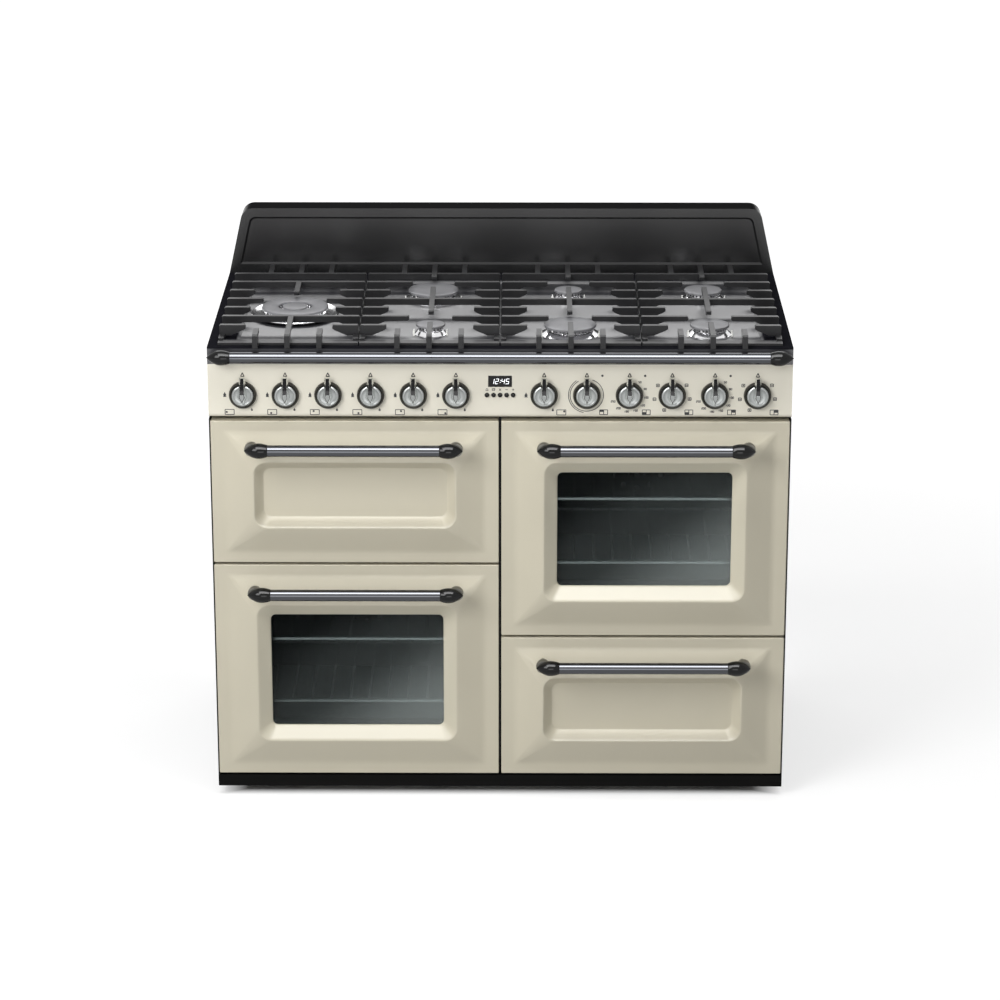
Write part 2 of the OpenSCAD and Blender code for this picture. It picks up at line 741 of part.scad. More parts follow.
module fan_motors() {
    color(steel) for (m = [mouths[0], mouths[2]]) column(m[0]) translate([0, 0, m[1] + m[3] / 2])
        difference() {
            union() {
                rod_y(0, motor_y, 0, motor_d + 24, sheet);
                rod_y(0, motor_y, 0, motor_d, motor_l);
                rod_y(0, motor_y, 0, 0.45 * motor_d, motor_l + 10);
            }
            rod_y(0, motor_y - over, 0, 14, 10 + over);
            rod_y(0, motor_y, 0, fan_shaft + 2 * pin_gap, motor_l - 4);
        }
}

// Fan wheel on its shaft, in the chamber behind the cover
module fan_wheel(side, z) {
    blades = 12;
    hub_y = wall_y() - chamber_d + 8;
    color(steel) column(side) translate([0, 0, z + cavity_h / 2]) {
        rod_y(0, hub_y + 16, 0, fan_d, 1.5);
        rod_y(0, hub_y, 0, 22, 18);
        rod_y(0, hub_y + 17, 0, fan_shaft, motor_y + motor_l - 6 - hub_y - 17);
        for (i = [0:blades - 1]) rotate([0, 360 * i / blades, 0])
            translate([fan_d / 4, hub_y, -1]) cube([fan_d / 4 - 2, 17, 2]);
    }
}

// ---------- controls ----------

module control_fascia() {
    wall = fascia_wall;
    profile = concat([for (a = [180:15:270]) fascia_r * [1 + cos(a), 1 + sin(a)]],
        [[fascia_d, 0], [fascia_d, fascia_h], [0, fascia_h]]);
    color(cream) translate([0, front_y, fascia_z]) difference() {
        translate([-body_w / 2, 0, 0]) rotate([90, 0, 90]) linear_extrude(body_w) polygon(profile);
        translate([-body_w / 2 + wall, wall, fascia_r])
            cube([body_w - 2 * wall, fascia_d, fascia_h - wall - fascia_r]);
        translate([-body_w / 2 + wall, fascia_r, wall])
            cube([body_w - 2 * wall, fascia_d, fascia_h - 2 * wall]);
        for (x = knob_x) rod_y(x, -over, fascia_h - knob_drop, spindle_d + 8, wall + 2 * over);
        for (b = [-2:2])
            rod_y(b * button_pitch, -over, fascia_h - knob_drop, button_d + 2 * run_gap,
                wall + 2 * over);
        translate([-clock_w / 2, -over, fascia_h - clock_drop - clock_h / 2])
            cube([clock_w, wall + 2 * over, clock_h]);
    }
}

fascia_wall = 2;     // thickness of the fascia's sheet
plate_y = front_y + fascia_d;        // front face of the bracket behind the fascia
spindle_l = 18;      // reach of a spindle behind the bracket's face
switch_w = 38;       // width and height of an oven switch
switch_l = 28;       // length of an oven switch
button_in = fascia_wall + 3.2;       // reach of a clock button behind the fascia's face
module_in = button_in + button_travel + 1.3;         // front of the clock module, clear of the buttons
display_in = 4;      // front of the clock module's display

// Sheet behind the fascia that carries the taps, with the oven switches and the clock
module control_bracket() {
    w = body_w - 2 * sheet;
    module_w = 5 * button_pitch + 8;
    color(steel) {
        difference() {
            translate([-w / 2, plate_y, fascia_z]) cube([w, sheet, fascia_h]);
            for (x = knob_x) rod_y(x, plate_y - over, knob_z, spindle_d + 8, sheet + 2 * over);
            translate([-module_w / 2, plate_y - over, knob_z - 12])
                cube([module_w, sheet + 2 * over, fascia_h - knob_drop + 12 - clock_drop + clock_h]);
        }
        for (k = [7:11]) difference() {
            translate([knob_x[k] - switch_w / 2, plate_y + sheet, knob_z - switch_w / 2])
                cube([switch_w, switch_l, switch_w]);
            rod_y(knob_x[k], plate_y, knob_z, spindle_d + 2 * pin_gap, spindle_l + 2);
        }
    }
    // Clock module: its display behind the window, its switches behind the buttons
    color(black) {
        translate([-module_w / 2, front_y + module_in, knob_z - 12])
            cube([module_w, 32, band_z - clock_drop + clock_h / 2 - knob_z + 12]);
        translate([-clock_w / 2 - 2, front_y + display_in, band_z - clock_drop - clock_h / 2 - 2])
            cube([clock_w + 4, module_in - display_in + over, clock_h + 4]);
    }
}

module clock_window() {
    z = band_z - clock_drop - clock_h / 2;
    color(black) translate([-clock_w / 2, front_y - 0.5, z]) {
        cube([clock_w, 0.5 + fascia_wall, clock_h]);
        translate([-2, 0.5 + fascia_wall, -2])
            cube([clock_w + 4, display_in - fascia_wall, clock_h + 4]);
    }
}

bezel_bore = knob_d + 1.6;           // inner diameter of a bezel's ring
bezel_floor = 1.5;                   // thickness of a bezel's base

module knob_bezels() {
    ring = (bezel_d - bezel_bore) / 2;
    color(iron) for (x = knob_x) translate([x, front_y, knob_z]) rotate([90, 0, 0])
        rotate_extrude() polygon([[spindle_d / 2 + 3, 0], [bezel_d / 2, 0],
            [bezel_d / 2, bezel_out - ring / 2], [bezel_d / 2 - ring * 0.15, bezel_out - ring * 0.15],
            [bezel_d / 2 - ring / 2, bezel_out], [bezel_bore / 2 + ring * 0.15, bezel_out - ring * 0.15],
            [bezel_bore / 2, bezel_out - ring / 2], [bezel_bore / 2, bezel_floor],
            [spindle_d / 2 + 3, bezel_floor]]);
}

// Knob: a dished disc on a spindle, with a tall pointed lever across it
module knob(k) {
    disc_back = bezel_floor + 1;     // back of the disc in front of the fascia
    foot = -(knob_out - 1);          // where the lever leaves the disc
    spindle_end = fascia_d + spindle_l;
    color(steel) translate([knob_x[k - 1], front_y, knob_z]) {
        rotate([90, 0, 0]) rotate_extrude() polygon([[0, disc_back], [knob_d / 2, disc_back],
            [knob_d / 2, knob_out - 2], [knob_d / 2 - 1, knob_out - 1], [knob_d / 2 - 3, knob_out],
            [knob_d / 2 - 5, knob_out - 0.5], [0, knob_out - 0.5]]);
        rod_y(0, -disc_back - thin, 0, spindle_d, spindle_end + disc_back);
    }
    color(chrome) translate([knob_x[k - 1], front_y, knob_z]) {
        lever_tail = -0.38 * knob_d;
        hull() {
            translate([0, foot, 0]) rotate([90, 0, 0]) linear_extrude(thin)
                polygon([[0, lever_tail - 3], [lever_w / 2, -2], [lever_w / 2 - 3, 12],
                    [ridge_w / 2 - 1, lever_reach], [1 - ridge_w / 2, lever_reach],
                    [3 - lever_w / 2, 12], [-lever_w / 2, -2]]);
            translate([0, -lever_out, 0]) rotate([90, 0, 0]) linear_extrude(thin)
                polygon([[0, lever_tail + 5], [ridge_w / 2, 0], [ridge_w / 2 - 0.5, 6],
                    [0.5 - ridge_w / 2, 6], [-ridge_w / 2, 0]]);
            translate([-ridge_w / 2 + 1, foot - 3, lever_reach - 1]) cube([ridge_w - 2, 3, 1]);
        }
    }
}

module clock_button(b) {
    collar = button_d + 2.6;
    color(black) translate([(b - 3) * button_pitch, front_y, knob_z]) {
        rod_y(0, -button_out, 0, button_d, button_out + button_in);
        rod_y(0, fascia_wall + 0.3, 0, collar, 1.5);
    }
}

pipe_d = 8;          // diameter of the burner pipes
manifold_y = plate_y + 42;           // centre line of the manifold
pot_h = 28;          // depth of a burner's pot below the well's floor
pot_z = well_z - chassis_t - pot_h;  // underside of the pots

// Main gas pipe with seven taps, a pipe from each tap to its burner and the inlet at the back
module gas_manifold() {
    targets = concat([[wok_pos[0], wok_pos[1]]], [for (b = burners) [b[0], b[1]]]);
    // Sideways runs lie side by side under the burners of a row
    lane = [0, -14, 14, 0, 0, 14, -14];
    run_z = pot_z - 14;
    tap_z = run_z - 13;
    color(brass) {
        rod_x((knob_x[0] + inlet_x) / 2, manifold_y, pipe_z, 18, inlet_x - knob_x[0] + 30);
        rod_y(inlet_x, manifold_y, pipe_z, 16, rear_y - manifold_y);
        rod_y(inlet_x, rear_y, pipe_z, inlet_d, 20);
        for (k = [0:6]) tap(knob_x[k], tap_z);
    }
    color(steel) for (k = [0:6]) {
        x = knob_x[k];
        bx = targets[k][0];
        by = front_y + targets[k][1] + lane[k];
        $fn = 8;
        rod_y(x, manifold_y - 5, tap_z, pipe_d, by - manifold_y + 5 + pipe_d / 2);
        translate([x, by, tap_z]) cylinder(d = pipe_d, h = run_z - tap_z);
        rod_x((x + bx) / 2, by, run_z, pipe_d, abs(x - bx) + pipe_d);
        translate([bx, by, run_z]) cylinder(d = pipe_d, h = pot_z - run_z);
    }
}

// Tap body on the manifold, with a bore for the knob's spindle
module tap(x, top_z) {
    y0 = plate_y + sheet;
    difference() {
        union() {
            translate([x - 13, y0, pipe_z - 13]) cube([26, 30, 26]);
            rod_y(x, y0, pipe_z, 22, manifold_y - y0);
            translate([x, manifold_y - 5, pipe_z]) cylinder(d = 12, h = top_z + 6 - pipe_z);
        }
        rod_y(x, y0 - over, pipe_z, spindle_d + 2 * pin_gap, spindle_l + over);
    }
}

// ---------- hob ----------

hob_t = 2;           // sheet thickness of the hob

// Pressed top with a deep front lip and a bevelled well
module hob_top() {
    well_w = body_w - 2 * rim_side;
    well_l = well_back - rim_front;
    well_y = front_y + (well_back + rim_front) / 2;
    color(enamel) difference() {
        union() {
            difference() {
                translate([-body_w / 2, front_y, band_z]) cube([body_w, body_d, band_h]);
                translate([-body_w / 2 + hob_t, front_y + hob_t, band_z - over])
                    cube([body_w - 2 * hob_t, body_d - 2 * hob_t, band_h - hob_t + over]);
            }
            translate([0, well_y, 0]) well_form(well_w + 2 * hob_t, well_l + 2 * hob_t, hob_t, 0);
        }
        translate([0, well_y, 0]) well_form(well_w, well_l, 0, thin);
        for (b = burners) translate([b[0], front_y + b[1], well_z - hob_t - over])
            cylinder(d = 0.62 * b[2], h = hob_t + 2 * over);
        translate([wok_pos[0], front_y + wok_pos[1], well_z - hob_t - over])
            cylinder(d = 0.62 * wok_d, h = hob_t + 2 * over);
    }
}

// Bevelled block of the well, sunk below the rim by the well's depth plus drop
module well_form(w, l, drop, above) {
    hull() {
        translate([0, 0, rim_z - thin]) linear_extrude(thin + above) polygon(rounded(w, l, 14));
        translate([0, 0, well_z - drop])
            linear_extrude(thin) polygon(rounded(w - 2 * well_bevel, l - 2 * well_bevel, 10));
    }
}

// Burner pot through the hob, with a conical skirt and a ported crown under the cap
module burner_body(d) {
    r = d / 2;
    seat = cap_top - burner_cap_t;   // underside of the cap above the rim
    rotate_extrude() polygon([[0, pot_z - rim_z], [0.3 * d - 1, pot_z - rim_z],
        [0.3 * d, -well_depth], [1.14 * r, -well_depth], [1.14 * r, 1.5 - well_depth],
        [0.92 * r, 0], [0.8 * r, 1], [0.88 * r, seat - 3], [0.94 * r, seat], [0, seat]]);
}

module wok_body() {
    r = wok_d / 2;
    seat = cap_top - burner_cap_t;
    rotate_extrude() polygon([[0, pot_z - rim_z], [0.3 * wok_d - 1, pot_z - rim_z],
        [0.3 * wok_d, -well_depth], [0.86 * bowl_d / 2, -well_depth], [bowl_d / 2, 1 - well_depth / 4],
        [bowl_d / 2 - 3, 2 - well_depth / 4], [0.8 * bowl_d / 2, 3 - well_depth],
        [0.9 * r, 1], [0.98 * r, seat], [0.44 * r, seat], [0.4 * r, 0], [0.3 * r, 0],
        [0.34 * r, seat], [0, seat]]);
}

module burner_bodies() {
    color(chrome) {
        for (b = burners) translate([b[0], front_y + b[1], rim_z]) burner_body(b[2]);
        translate([wok_pos[0], front_y + wok_pos[1], rim_z]) wok_body();
    }
}

// Enamelled caps; the wok burner has a ring round a small cap
module burner_caps() {
    color(iron) translate([0, front_y, rim_z + cap_top - burner_cap_t]) {
        for (b = burners) translate([b[0], b[1], 0])
            rotate_extrude() polygon(cap_profile(0, b[2] / 2));
        translate([wok_pos[0], wok_pos[1], 0]) rotate_extrude() {
            polygon(cap_profile(0, 0.38 * wok_d / 2));
            polygon(cap_profile(0.5 * wok_d / 2, wok_d / 2));
        }
    }
}

function cap_profile(r0, r1) = [[r0, 0], [r1, 0], [r1, 0.4 * burner_cap_t],
    [r1 - 0.5, 0.8 * burner_cap_t], [r1 - 2, burner_cap_t], [r0, burner_cap_t]];

// ---------- pan supports: local origin in the middle of the hob's front edge, on the rim ----------

rest = 0.3;          // clearance under a piece that lifts off
root_x = support_w / 2;

// Side finger from the left or right edge in to tip_x: deep at its root and slim at its tip
module side_fingers(tip_x, v) {
    top = support_h;
    for (s = [0, 1]) mirror([s, 0, 0]) translate([0, v + finger_t / 2, 0]) rotate([90, 0, 0])
        linear_extrude(finger_t) polygon([[tip_x, top - tip_h + 2], [tip_x, top - 2],
            [tip_x + 2, top], [root_x - 2, top], [root_x, top - 2], [root_x, top - root_h],
            [root_x - 22, top - root_h], [root_x - 45, top - tip_h - 1], [tip_x + 3, top - tip_h]]);
}

// Bar across the whole width
module cross_bar(v) {
    top = support_h;
    translate([0, v + finger_t / 2, 0]) rotate([90, 0, 0]) linear_extrude(finger_t)
        polygon([[-root_x, top - root_h], [-root_x, top - 2], [2 - root_x, top], [root_x - 2, top],
            [root_x, top - 2], [root_x, top - root_h], [root_x - 22, top - root_h],
            [root_x - 40, top - tip_h - 3], [40 - root_x, top - tip_h - 3],
            [22 - root_x, top - root_h]]);
}

// Finger along the depth, from v0 to v1; a foot reaches the rim where foot is -1 (front) or 1 (rear)
module depth_finger(x, v0, v1, foot) {
    top = support_h;
    foot_l = foot < 0 ? front_bar[0] + 6 - v0 : 14;
    lower = top - tip_h;
    translate([x - finger_t / 2, 0, 0]) rotate([90, 0, 90]) linear_extrude(finger_t)
        polygon(foot == 0
            ? [[v0, lower + 2], [v0, top - 2], [v0 + 2, top], [v1 - 2, top], [v1, top - 2],
                [v1, lower + 2], [v1 - 3, lower], [v0 + 3, lower]]
            : foot < 0
            ? [[v0, rest], [v0, top - 3], [v0 + 3, top], [v1 - 2, top], [v1, top - 2],
                [v1, lower + 2], [v1 - 3, lower], [v0 + foot_l + 10, lower],
                [v0 + foot_l + 4, lower - 4], [v0 + foot_l, rest]]
            : [[v0, lower + 2], [v0, top - 2], [v0 + 2, top], [v1 - 3, top], [v1, top - 3],
                [v1, rest], [v1 - foot_l, rest], [v1 - foot_l - 8, lower - 4],
                [v1 - foot_l - 20, lower], [v0 + 3, lower]]);
}

front_bar = [11, 33];                // depth of the low front bar, from and to
finger_front = -10;                  // front end of the front fingers
finger_rear = 514;                   // rear end of the rear fingers
outer_x = 60;                        // place of the outer front and rear fingers
short_tip = 82;
long_tip = 41;

module pan_support(i) {
    row = [for (k = [0:6]) row_first + k * row_pitch];
    color(iron) translate([section_x(i), front_y, rim_z]) {
        // Front bar, side rails and the fingers that stand on the rim
        translate([-root_x, front_bar[0], rest])
            cube([2 * root_x, front_bar[1] - front_bar[0], 5]);
        for (s = [0, 1]) mirror([s, 0, 0])
            translate([root_x - 10, front_bar[1] - 4, rest])
                cube([10, row[6] - front_bar[1] + 4, support_h - root_h + 2]);
        for (x = [-outer_x, outer_x]) {
            depth_finger(x, finger_front, front_bar[1] + 5, -1);
            depth_finger(x, row[6] - 5, finger_rear, 1);
        }
        cross_bar(row[6]);
        if (i == 1) {
            side_fingers(short_tip, row[0]);
            cross_bar(row[1]);
            side_fingers(short_tip, row[2]);
            side_fingers(short_tip - 21, row[3]);
            side_fingers(short_tip, row[4]);
            cross_bar(row[5]);
            depth_finger(0, finger_front, row[1], -1);
            depth_finger(0, row[5] - 76, row[5], 0);
            depth_finger(0, row[6], finger_rear, 1);
        } else {
            for (k = [0, 2, 4]) side_fingers(short_tip, row[k]);
            for (k = [1, 5]) side_fingers(long_tip, row[k]);
            cross_bar(row[3]);
            depth_finger(0, finger_front, row[1] - long_tip, -1);
            depth_finger(0, row[3] - 90, row[3] + 90, 0);
            depth_finger(0, row[5] + long_tip, finger_rear, 1);
        }
    }
}

// ---------- rail and splashback ----------

module front_rail() {
    rail_l = body_w - 2 * cap_l;
    translate([0, front_y - rail_out, rim_z - rail_drop]) {
        color(chrome) rod_x(0, 0, 0, bar_d, rail_l);
        color(black) for (s = [0, 1]) mirror([s, 0, 0]) {
            translate([rail_l / 2, 0, 0]) end_cap();
            translate([rail_l / 2 + cap_l / 3, 0, 0]) rotate([-90, 0, 0])
                cylinder(d = post_top_d, h = rail_out);
        }
    }
}

// Outline of the splashback drawn in by a margin, with rounded upper corners
function splash_outline(m, r, floor_h) = let (
        slope = splash_taper / splash_h,
        half = function(h) body_w / 2 - slope * h - m,
        lean = atan(slope),
        n = 8,
        cz = splash_h - m - r,
        cx = half(cz) - r / cos(lean),
        arc = [for (i = [0:n]) let (a = lean + i * (90 - lean) / n) r * [cos(a), sin(a)]])
    concat([[-half(floor_h), floor_h], [half(floor_h), floor_h]],
        [for (i = [0:n]) [cx + arc[i][0], cz + arc[i][1]]],
        [for (i = [n:-1:0]) [-cx - arc[i][0], cz + arc[i][1]]]);

module splashback() {
    y = back_y - splash_d;
    wall = 2;
    inner_r = splash_r / 2.2;
    color(black) difference() {
        slab(y, splash_d) translate([0, rim_z]) polygon(splash_outline(0, splash_r, 0));
        difference() {
            slab(y + wall, splash_d) translate([0, rim_z])
                polygon(splash_outline(wall, splash_r - wall, -over));
            hull() {
                slab(y, thin) translate([0, rim_z])
                    polygon(splash_outline(panel_margin - 3, inner_r + 3, panel_margin - 3));
                slab(y + panel_depth + wall, thin) translate([0, rim_z])
                    polygon(splash_outline(panel_margin + 3, inner_r, panel_margin + 3));
            }
        }
        hull() {
            slab(y - thin, thin) translate([0, rim_z])
                polygon(splash_outline(panel_margin, inner_r + 2, panel_margin));
            slab(y + panel_depth, thin) translate([0, rim_z])
                polygon(splash_outline(panel_margin + 4, inner_r, panel_margin + 4));
        }
    }
}

// ---------- storage drawer ----------

module drawer_box() {
    w = drawer_w + 2 * chassis_t;
    y = door_d - liner_t;
    up = drawer_up;
    color(steel) column(1) translate([0, front_y, low_z]) {
        plate(front_w - 2 * skin, small_h - 2 * skin, liner_r, y, liner_t, skin);
        difference() {
            translate([-w / 2, y, up]) cube([w, seal_d + liner_t + drawer_d, drawer_h]);
            translate([-drawer_w / 2, y + liner_t, up + chassis_t])
                cube([drawer_w, seal_d + drawer_d - chassis_t, drawer_h]);
        }
        for (s = [0, 1]) mirror([s, 0, 0])
            translate([w / 2 - thin, frame_y - front_y + 2 * chassis_t, runner_z - low_z])
                cube([runner_w + thin, drawer_d - 20, runner_h]);
    }
}

// ---------- doors in their places ----------

module left_door() {
    column(-1) translate([0, front_y, low_z]) children();
}

module right_door() {
    column(1) translate([0, front_y, right_z]) children();
}

module grill_door() {
    column(-1) translate([0, front_y, grill_z]) children();
}

module drawer() {
    column(1) translate([0, front_y, low_z]) children();
}

side_panels();
rear_panel();
base_chassis();
front_frame();
plinth();
levelling_feet();
control_fascia();
control_bracket();
clock_window();
knob_bezels();
gas_manifold();
hob_top();
front_rail();
splashback();
burner_bodies();
burner_caps();
left_oven_cavity();
right_oven_cavity();
grill_cavity();
oven_shelves();
heating_elements();
door_seals();
fan_motors();
fan_wheel(-1, left_mouth_z);  // left_fan
fan_wheel(1, right_mouth_z);  // right_fan
color(cream) left_door() door_panel(tall_h, true, true);  // left_door_panel
color(black) left_door() door_panes(tall_h);  // left_door_glass
color(iron) left_door() door_liner(tall_h, true, true);  // left_door_liner
color(chrome) left_door() bar_handle(tall_h);  // left_door_handle
color(cream) right_door() door_panel(tall_h, true, true);  // right_door_panel
color(black) right_door() door_panes(tall_h);  // right_door_glass
color(iron) right_door() door_liner(tall_h, true, true);  // right_door_liner
color(chrome) right_door() bar_handle(tall_h);  // right_door_handle
color(cream) grill_door() door_panel(small_h, false, true);  // grill_door_panel
color(iron) grill_door() door_liner(small_h, false, true);  // grill_door_liner
color(chrome) grill_door() bar_handle(small_h);  // grill_door_handle
color(cream) drawer() door_panel(small_h, false, false);  // drawer_front
drawer_box();
color(chrome) drawer() bar_handle(small_h);  // drawer_handle
for (i = [1:4]) pan_support(i);
for (k = [1:12]) knob(k);
for (b = [1:5]) clock_button(b);
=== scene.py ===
"""Looks of a free-standing range cooker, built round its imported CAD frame.

Metres. X runs to the right, Y from front to back and Z up from the floor.
"""

import math

import bmesh
import bpy
from mathutils import Matrix, Vector


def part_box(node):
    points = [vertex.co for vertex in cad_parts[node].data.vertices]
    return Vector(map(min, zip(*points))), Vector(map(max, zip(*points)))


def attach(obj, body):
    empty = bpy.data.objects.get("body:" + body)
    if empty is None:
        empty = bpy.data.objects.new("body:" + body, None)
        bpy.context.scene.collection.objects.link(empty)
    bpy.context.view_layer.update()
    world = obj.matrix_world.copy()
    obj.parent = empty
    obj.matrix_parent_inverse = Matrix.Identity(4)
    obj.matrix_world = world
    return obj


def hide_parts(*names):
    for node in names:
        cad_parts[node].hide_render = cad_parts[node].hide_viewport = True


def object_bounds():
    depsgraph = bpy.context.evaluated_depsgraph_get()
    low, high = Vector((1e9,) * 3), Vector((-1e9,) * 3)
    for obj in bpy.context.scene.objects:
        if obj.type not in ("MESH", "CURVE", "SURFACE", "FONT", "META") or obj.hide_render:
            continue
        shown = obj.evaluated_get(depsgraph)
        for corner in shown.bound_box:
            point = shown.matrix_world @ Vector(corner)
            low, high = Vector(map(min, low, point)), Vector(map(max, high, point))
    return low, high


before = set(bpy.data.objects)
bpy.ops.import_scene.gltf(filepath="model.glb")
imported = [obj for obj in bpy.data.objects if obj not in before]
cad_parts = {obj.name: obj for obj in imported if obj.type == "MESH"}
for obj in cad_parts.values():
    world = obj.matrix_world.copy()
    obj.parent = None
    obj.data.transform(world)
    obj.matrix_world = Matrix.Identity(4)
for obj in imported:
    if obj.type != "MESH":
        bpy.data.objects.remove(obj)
cad_low, cad_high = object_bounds()

MM = 0.001

# ---------- places taken from the frame ----------

plinth_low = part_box("plinth")[0]
hob_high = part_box("hob_top")[1]
FRONT = plinth_low.y  # border face of the fronts, and the hob's front edge
RIM = hob_high.z  # the hob's rim
KNOB_Z = sum(c.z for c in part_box("clock_button_3")) / 2  # axis of the knobs and buttons
KNOB_XS = {k: sum(c.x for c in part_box(f"knob_{k}")) / 2 for k in range(1, 13)}

# ---------- sizes that the frame doesn't state ----------

BORDER_W = 28 * MM  # flat border of a front, at the sides
BORDER_H = 23 * MM  # and at the top and bottom
SLOPE = 51 * MM  # width of the slope up to the lip
LIP_OUT = 19.5 * MM  # how far the lip stands out
LIP_LAND = 3 * MM  # flat top of the lip
LIP_R = 26 * MM  # corner radius of the lip
WINDOW_WALL = 24 * MM  # wall from the lip in to a window
BLANK_WALL = 15 * MM  # wall from the lip in to a blank recess
WINDOW_R = 10 * MM  # corner radius of a window
BLANK_R = 16 * MM  # corner radius of a blank recess
EDGE_R = 2 * MM  # outer corners and edges of a front
BENDS = [EDGE_R, 7 * MM, 8 * MM, 5 * MM, 9 * MM]  # bend radii of a front, from its edge inwards
WINDOW_BEND = 3.5 * MM  # last bend of a front with a window
SKIN = 3 * MM  # sheet thickness of a front
DOOR_D = 38 * MM  # depth of a door from its border face
BAR_R = 11 * MM  # bars of the handles and the rail
BAR_L = 322 * MM  # bar of a handle
CAP_L = 44.5 * MM  # leaf caps: length, radius where thickest and radius at the mouth
CAP_R = 14.5 * MM
CAP_MOUTH_R = 11.25 * MM
HANDLE_OUT = 58 * MM  # a handle's axis in front of the border face
POST_IN = 31 * MM  # a post's place past the end of the bar
RAIL_OUT = 18 * MM  # the rail's axis in front of the border face
RAIL_DROP = 15.5 * MM  # and below the rim
PITCH = 266 * MM  # width of one pan support section
WELL_DEPTH = 8 * MM  # the hob's wells below the rim
CAP_TOP = 12 * MM  # height of the burner caps above the rim
FRONT_ROW = 125.3 * MM  # burners, back from the hob's front edge
WOK_ROW = 251.9 * MM
REAR_ROW = 378.5 * MM


# ---------- materials ----------

WHITE = (1, 1, 1, 1)


def set_inputs(tree, node, values):
    """Gives sockets of a node plain values, or links them to other nodes' outputs."""
    for socket, value in values.items():
        if isinstance(value, bpy.types.NodeSocket):
            tree.links.new(value, node.inputs[socket])
        else:
            node.inputs[socket].default_value = value


def add_node(tree, kind, inputs=None, **settings):
    """A shader node with its settings and inputs."""
    node = tree.nodes.new("ShaderNode" + kind)
    for name, value in settings.items():
        setattr(node, name, value)
    set_inputs(tree, node, inputs or {})
    return node


def new_material(name):
    """A node material and its tree, ready for procedural textures."""
    material = bpy.data.materials.new(name)
    material.use_nodes = True
    return material, material.node_tree


def coordinate(tree, kind):
    return add_node(tree, "TexCoord").outputs[kind]


def add_noise(tree, scale):
    """Noise in the object's own coordinates, in metres."""
    noise = add_node(tree, "TexNoise", {"Vector": coordinate(tree, "Object"), "Scale": scale,
                                        "Detail": 2.0})
    return noise.outputs["Fac"]


def add_ramp(tree, value, stops, interpolation="LINEAR"):
    """Colour that follows a value through (position, colour) stops."""
    node = add_node(tree, "ValToRGB", {"Fac": value})
    ramp = node.color_ramp
    ramp.interpolation = interpolation
    while len(ramp.elements) < len(stops):
        ramp.elements.new(1.0)
    for element, (position, color) in zip(ramp.elements, stops):
        element.position = position
        element.color = [*color, 1]
    return node.outputs["Color"]


def add_range(tree, value, start, end, low=0.0, high=1.0, **settings):
    """Number that goes from low to high as a value goes from start to end."""
    node = add_node(tree, "MapRange", {"Value": value, "From Min": start, "From Max": end,
                                       "To Min": low, "To Max": high}, **settings)
    return node.outputs["Result"]


def add_math(tree, operation, first, second):
    return add_node(tree, "Math", {0: first, 1: second}, operation=operation).outputs["Value"]


def add_split(tree, vector):
    """The X, Y and Z outputs of a vector."""
    return add_node(tree, "SeparateXYZ", {"Vector": vector}).outputs


def seen_white(tree):
    """1 for camera, glossy and transmission rays, 0 for those that carry light to a surface."""
    paths = add_node(tree, "LightPath").outputs
    seen = add_math(tree, "MAXIMUM", paths["Is Camera Ray"], paths["Is Glossy Ray"])
    return add_math(tree, "MAXIMUM", seen, paths["Is Transmission Ray"])


def surface(name, color, roughness, metallic=0.0, coat=0.0, coat_roughness=0.03, specular=0.5,
            grain=900.0, bump=0.02, depth=0.0002, spread=0.04, tint=0.03):
    """Shader with a fine grain: uneven roughness, a slight change of tint and a shallow bump."""
    material, tree = new_material(name)
    fine = add_noise(tree, grain)
    slow = add_noise(tree, grain / 60)
    shader = tree.nodes["Principled BSDF"]
    set_inputs(tree, shader, {
        "Metallic": metallic, "Specular IOR Level": specular,
        "Coat Weight": coat, "Coat Roughness": coat_roughness,
        "Roughness": add_range(tree, fine, 0.0, 1.0, max(0.0, roughness - spread),
                               min(1.0, roughness + spread)),
        "Base Color": add_ramp(tree, slow, [(0.3, [c * (1 - tint) for c in color]),
                                            (0.7, [min(1.0, c * (1 + tint)) for c in color])]),
    })
    if bump:
        relief = add_node(tree, "Bump", {"Strength": bump, "Distance": depth, "Height": fine})
        set_inputs(tree, shader, {"Normal": relief.outputs["Normal"]})
    return material


PAINTED_REFLECTION_SHARE = 0.12  # share of the grey film on one face of a pane; the film is a painted reflection
# Colours of that painted reflection, from the pane's upper left to its lower right
PAINTED_REFLECTION_STOPS = [(0.16, (0.004, 0.005, 0.005)), (0.5, (0.105, 0.116, 0.114)),
              (0.95, (0.72, 0.77, 0.76))]
PANE_TINTS = [(0.0, (0.91, 0.93, 0.93)), (1.0, (0.93, 0.95, 0.95))]
PANE_IOR = 1.09  # low, so that a pane mirrors little of the white surroundings


def glass_material():
    """Tinted oven glass, clear enough to show the shelves, with a painted reflection that greys it
    towards its lower right.
    """
    material, tree = new_material("dark_glass")
    tree.nodes.remove(tree.nodes["Principled BSDF"])
    clear = add_node(tree, "BsdfTransparent", {
        "Color": add_ramp(tree, add_noise(tree, 2.0), PANE_TINTS)})
    gloss = add_node(tree, "BsdfGlossy", {"Roughness": 0.04, "Color": (0.92, 0.97, 0.97, 1)})
    fresnel = add_node(tree, "Fresnel", {"IOR": PANE_IOR})
    pane = add_node(tree, "MixShader", {"Fac": fresnel.outputs["Fac"], 1: clear.outputs["BSDF"],
                                        2: gloss.outputs["BSDF"]})
    # Painted reflection: the film's colour goes from black at the upper left to grey at the lower
    # right
    place = add_split(tree, coordinate(tree, "Generated"))
    across = add_range(tree, add_math(tree, "SUBTRACT", place["X"], place["Z"]), -1.0, 1.0)
    painted_reflection = add_node(tree, "BsdfDiffuse", {"Color": add_ramp(tree, across, PAINTED_REFLECTION_STOPS, "EASE")})
    mix = add_node(tree, "MixShader", {"Fac": PAINTED_REFLECTION_SHARE, 1: pane.outputs["Shader"],
                                       2: painted_reflection.outputs["BSDF"]})
    set_inputs(tree, tree.nodes["Material Output"], {"Surface": mix.outputs["Shader"]})
    return material


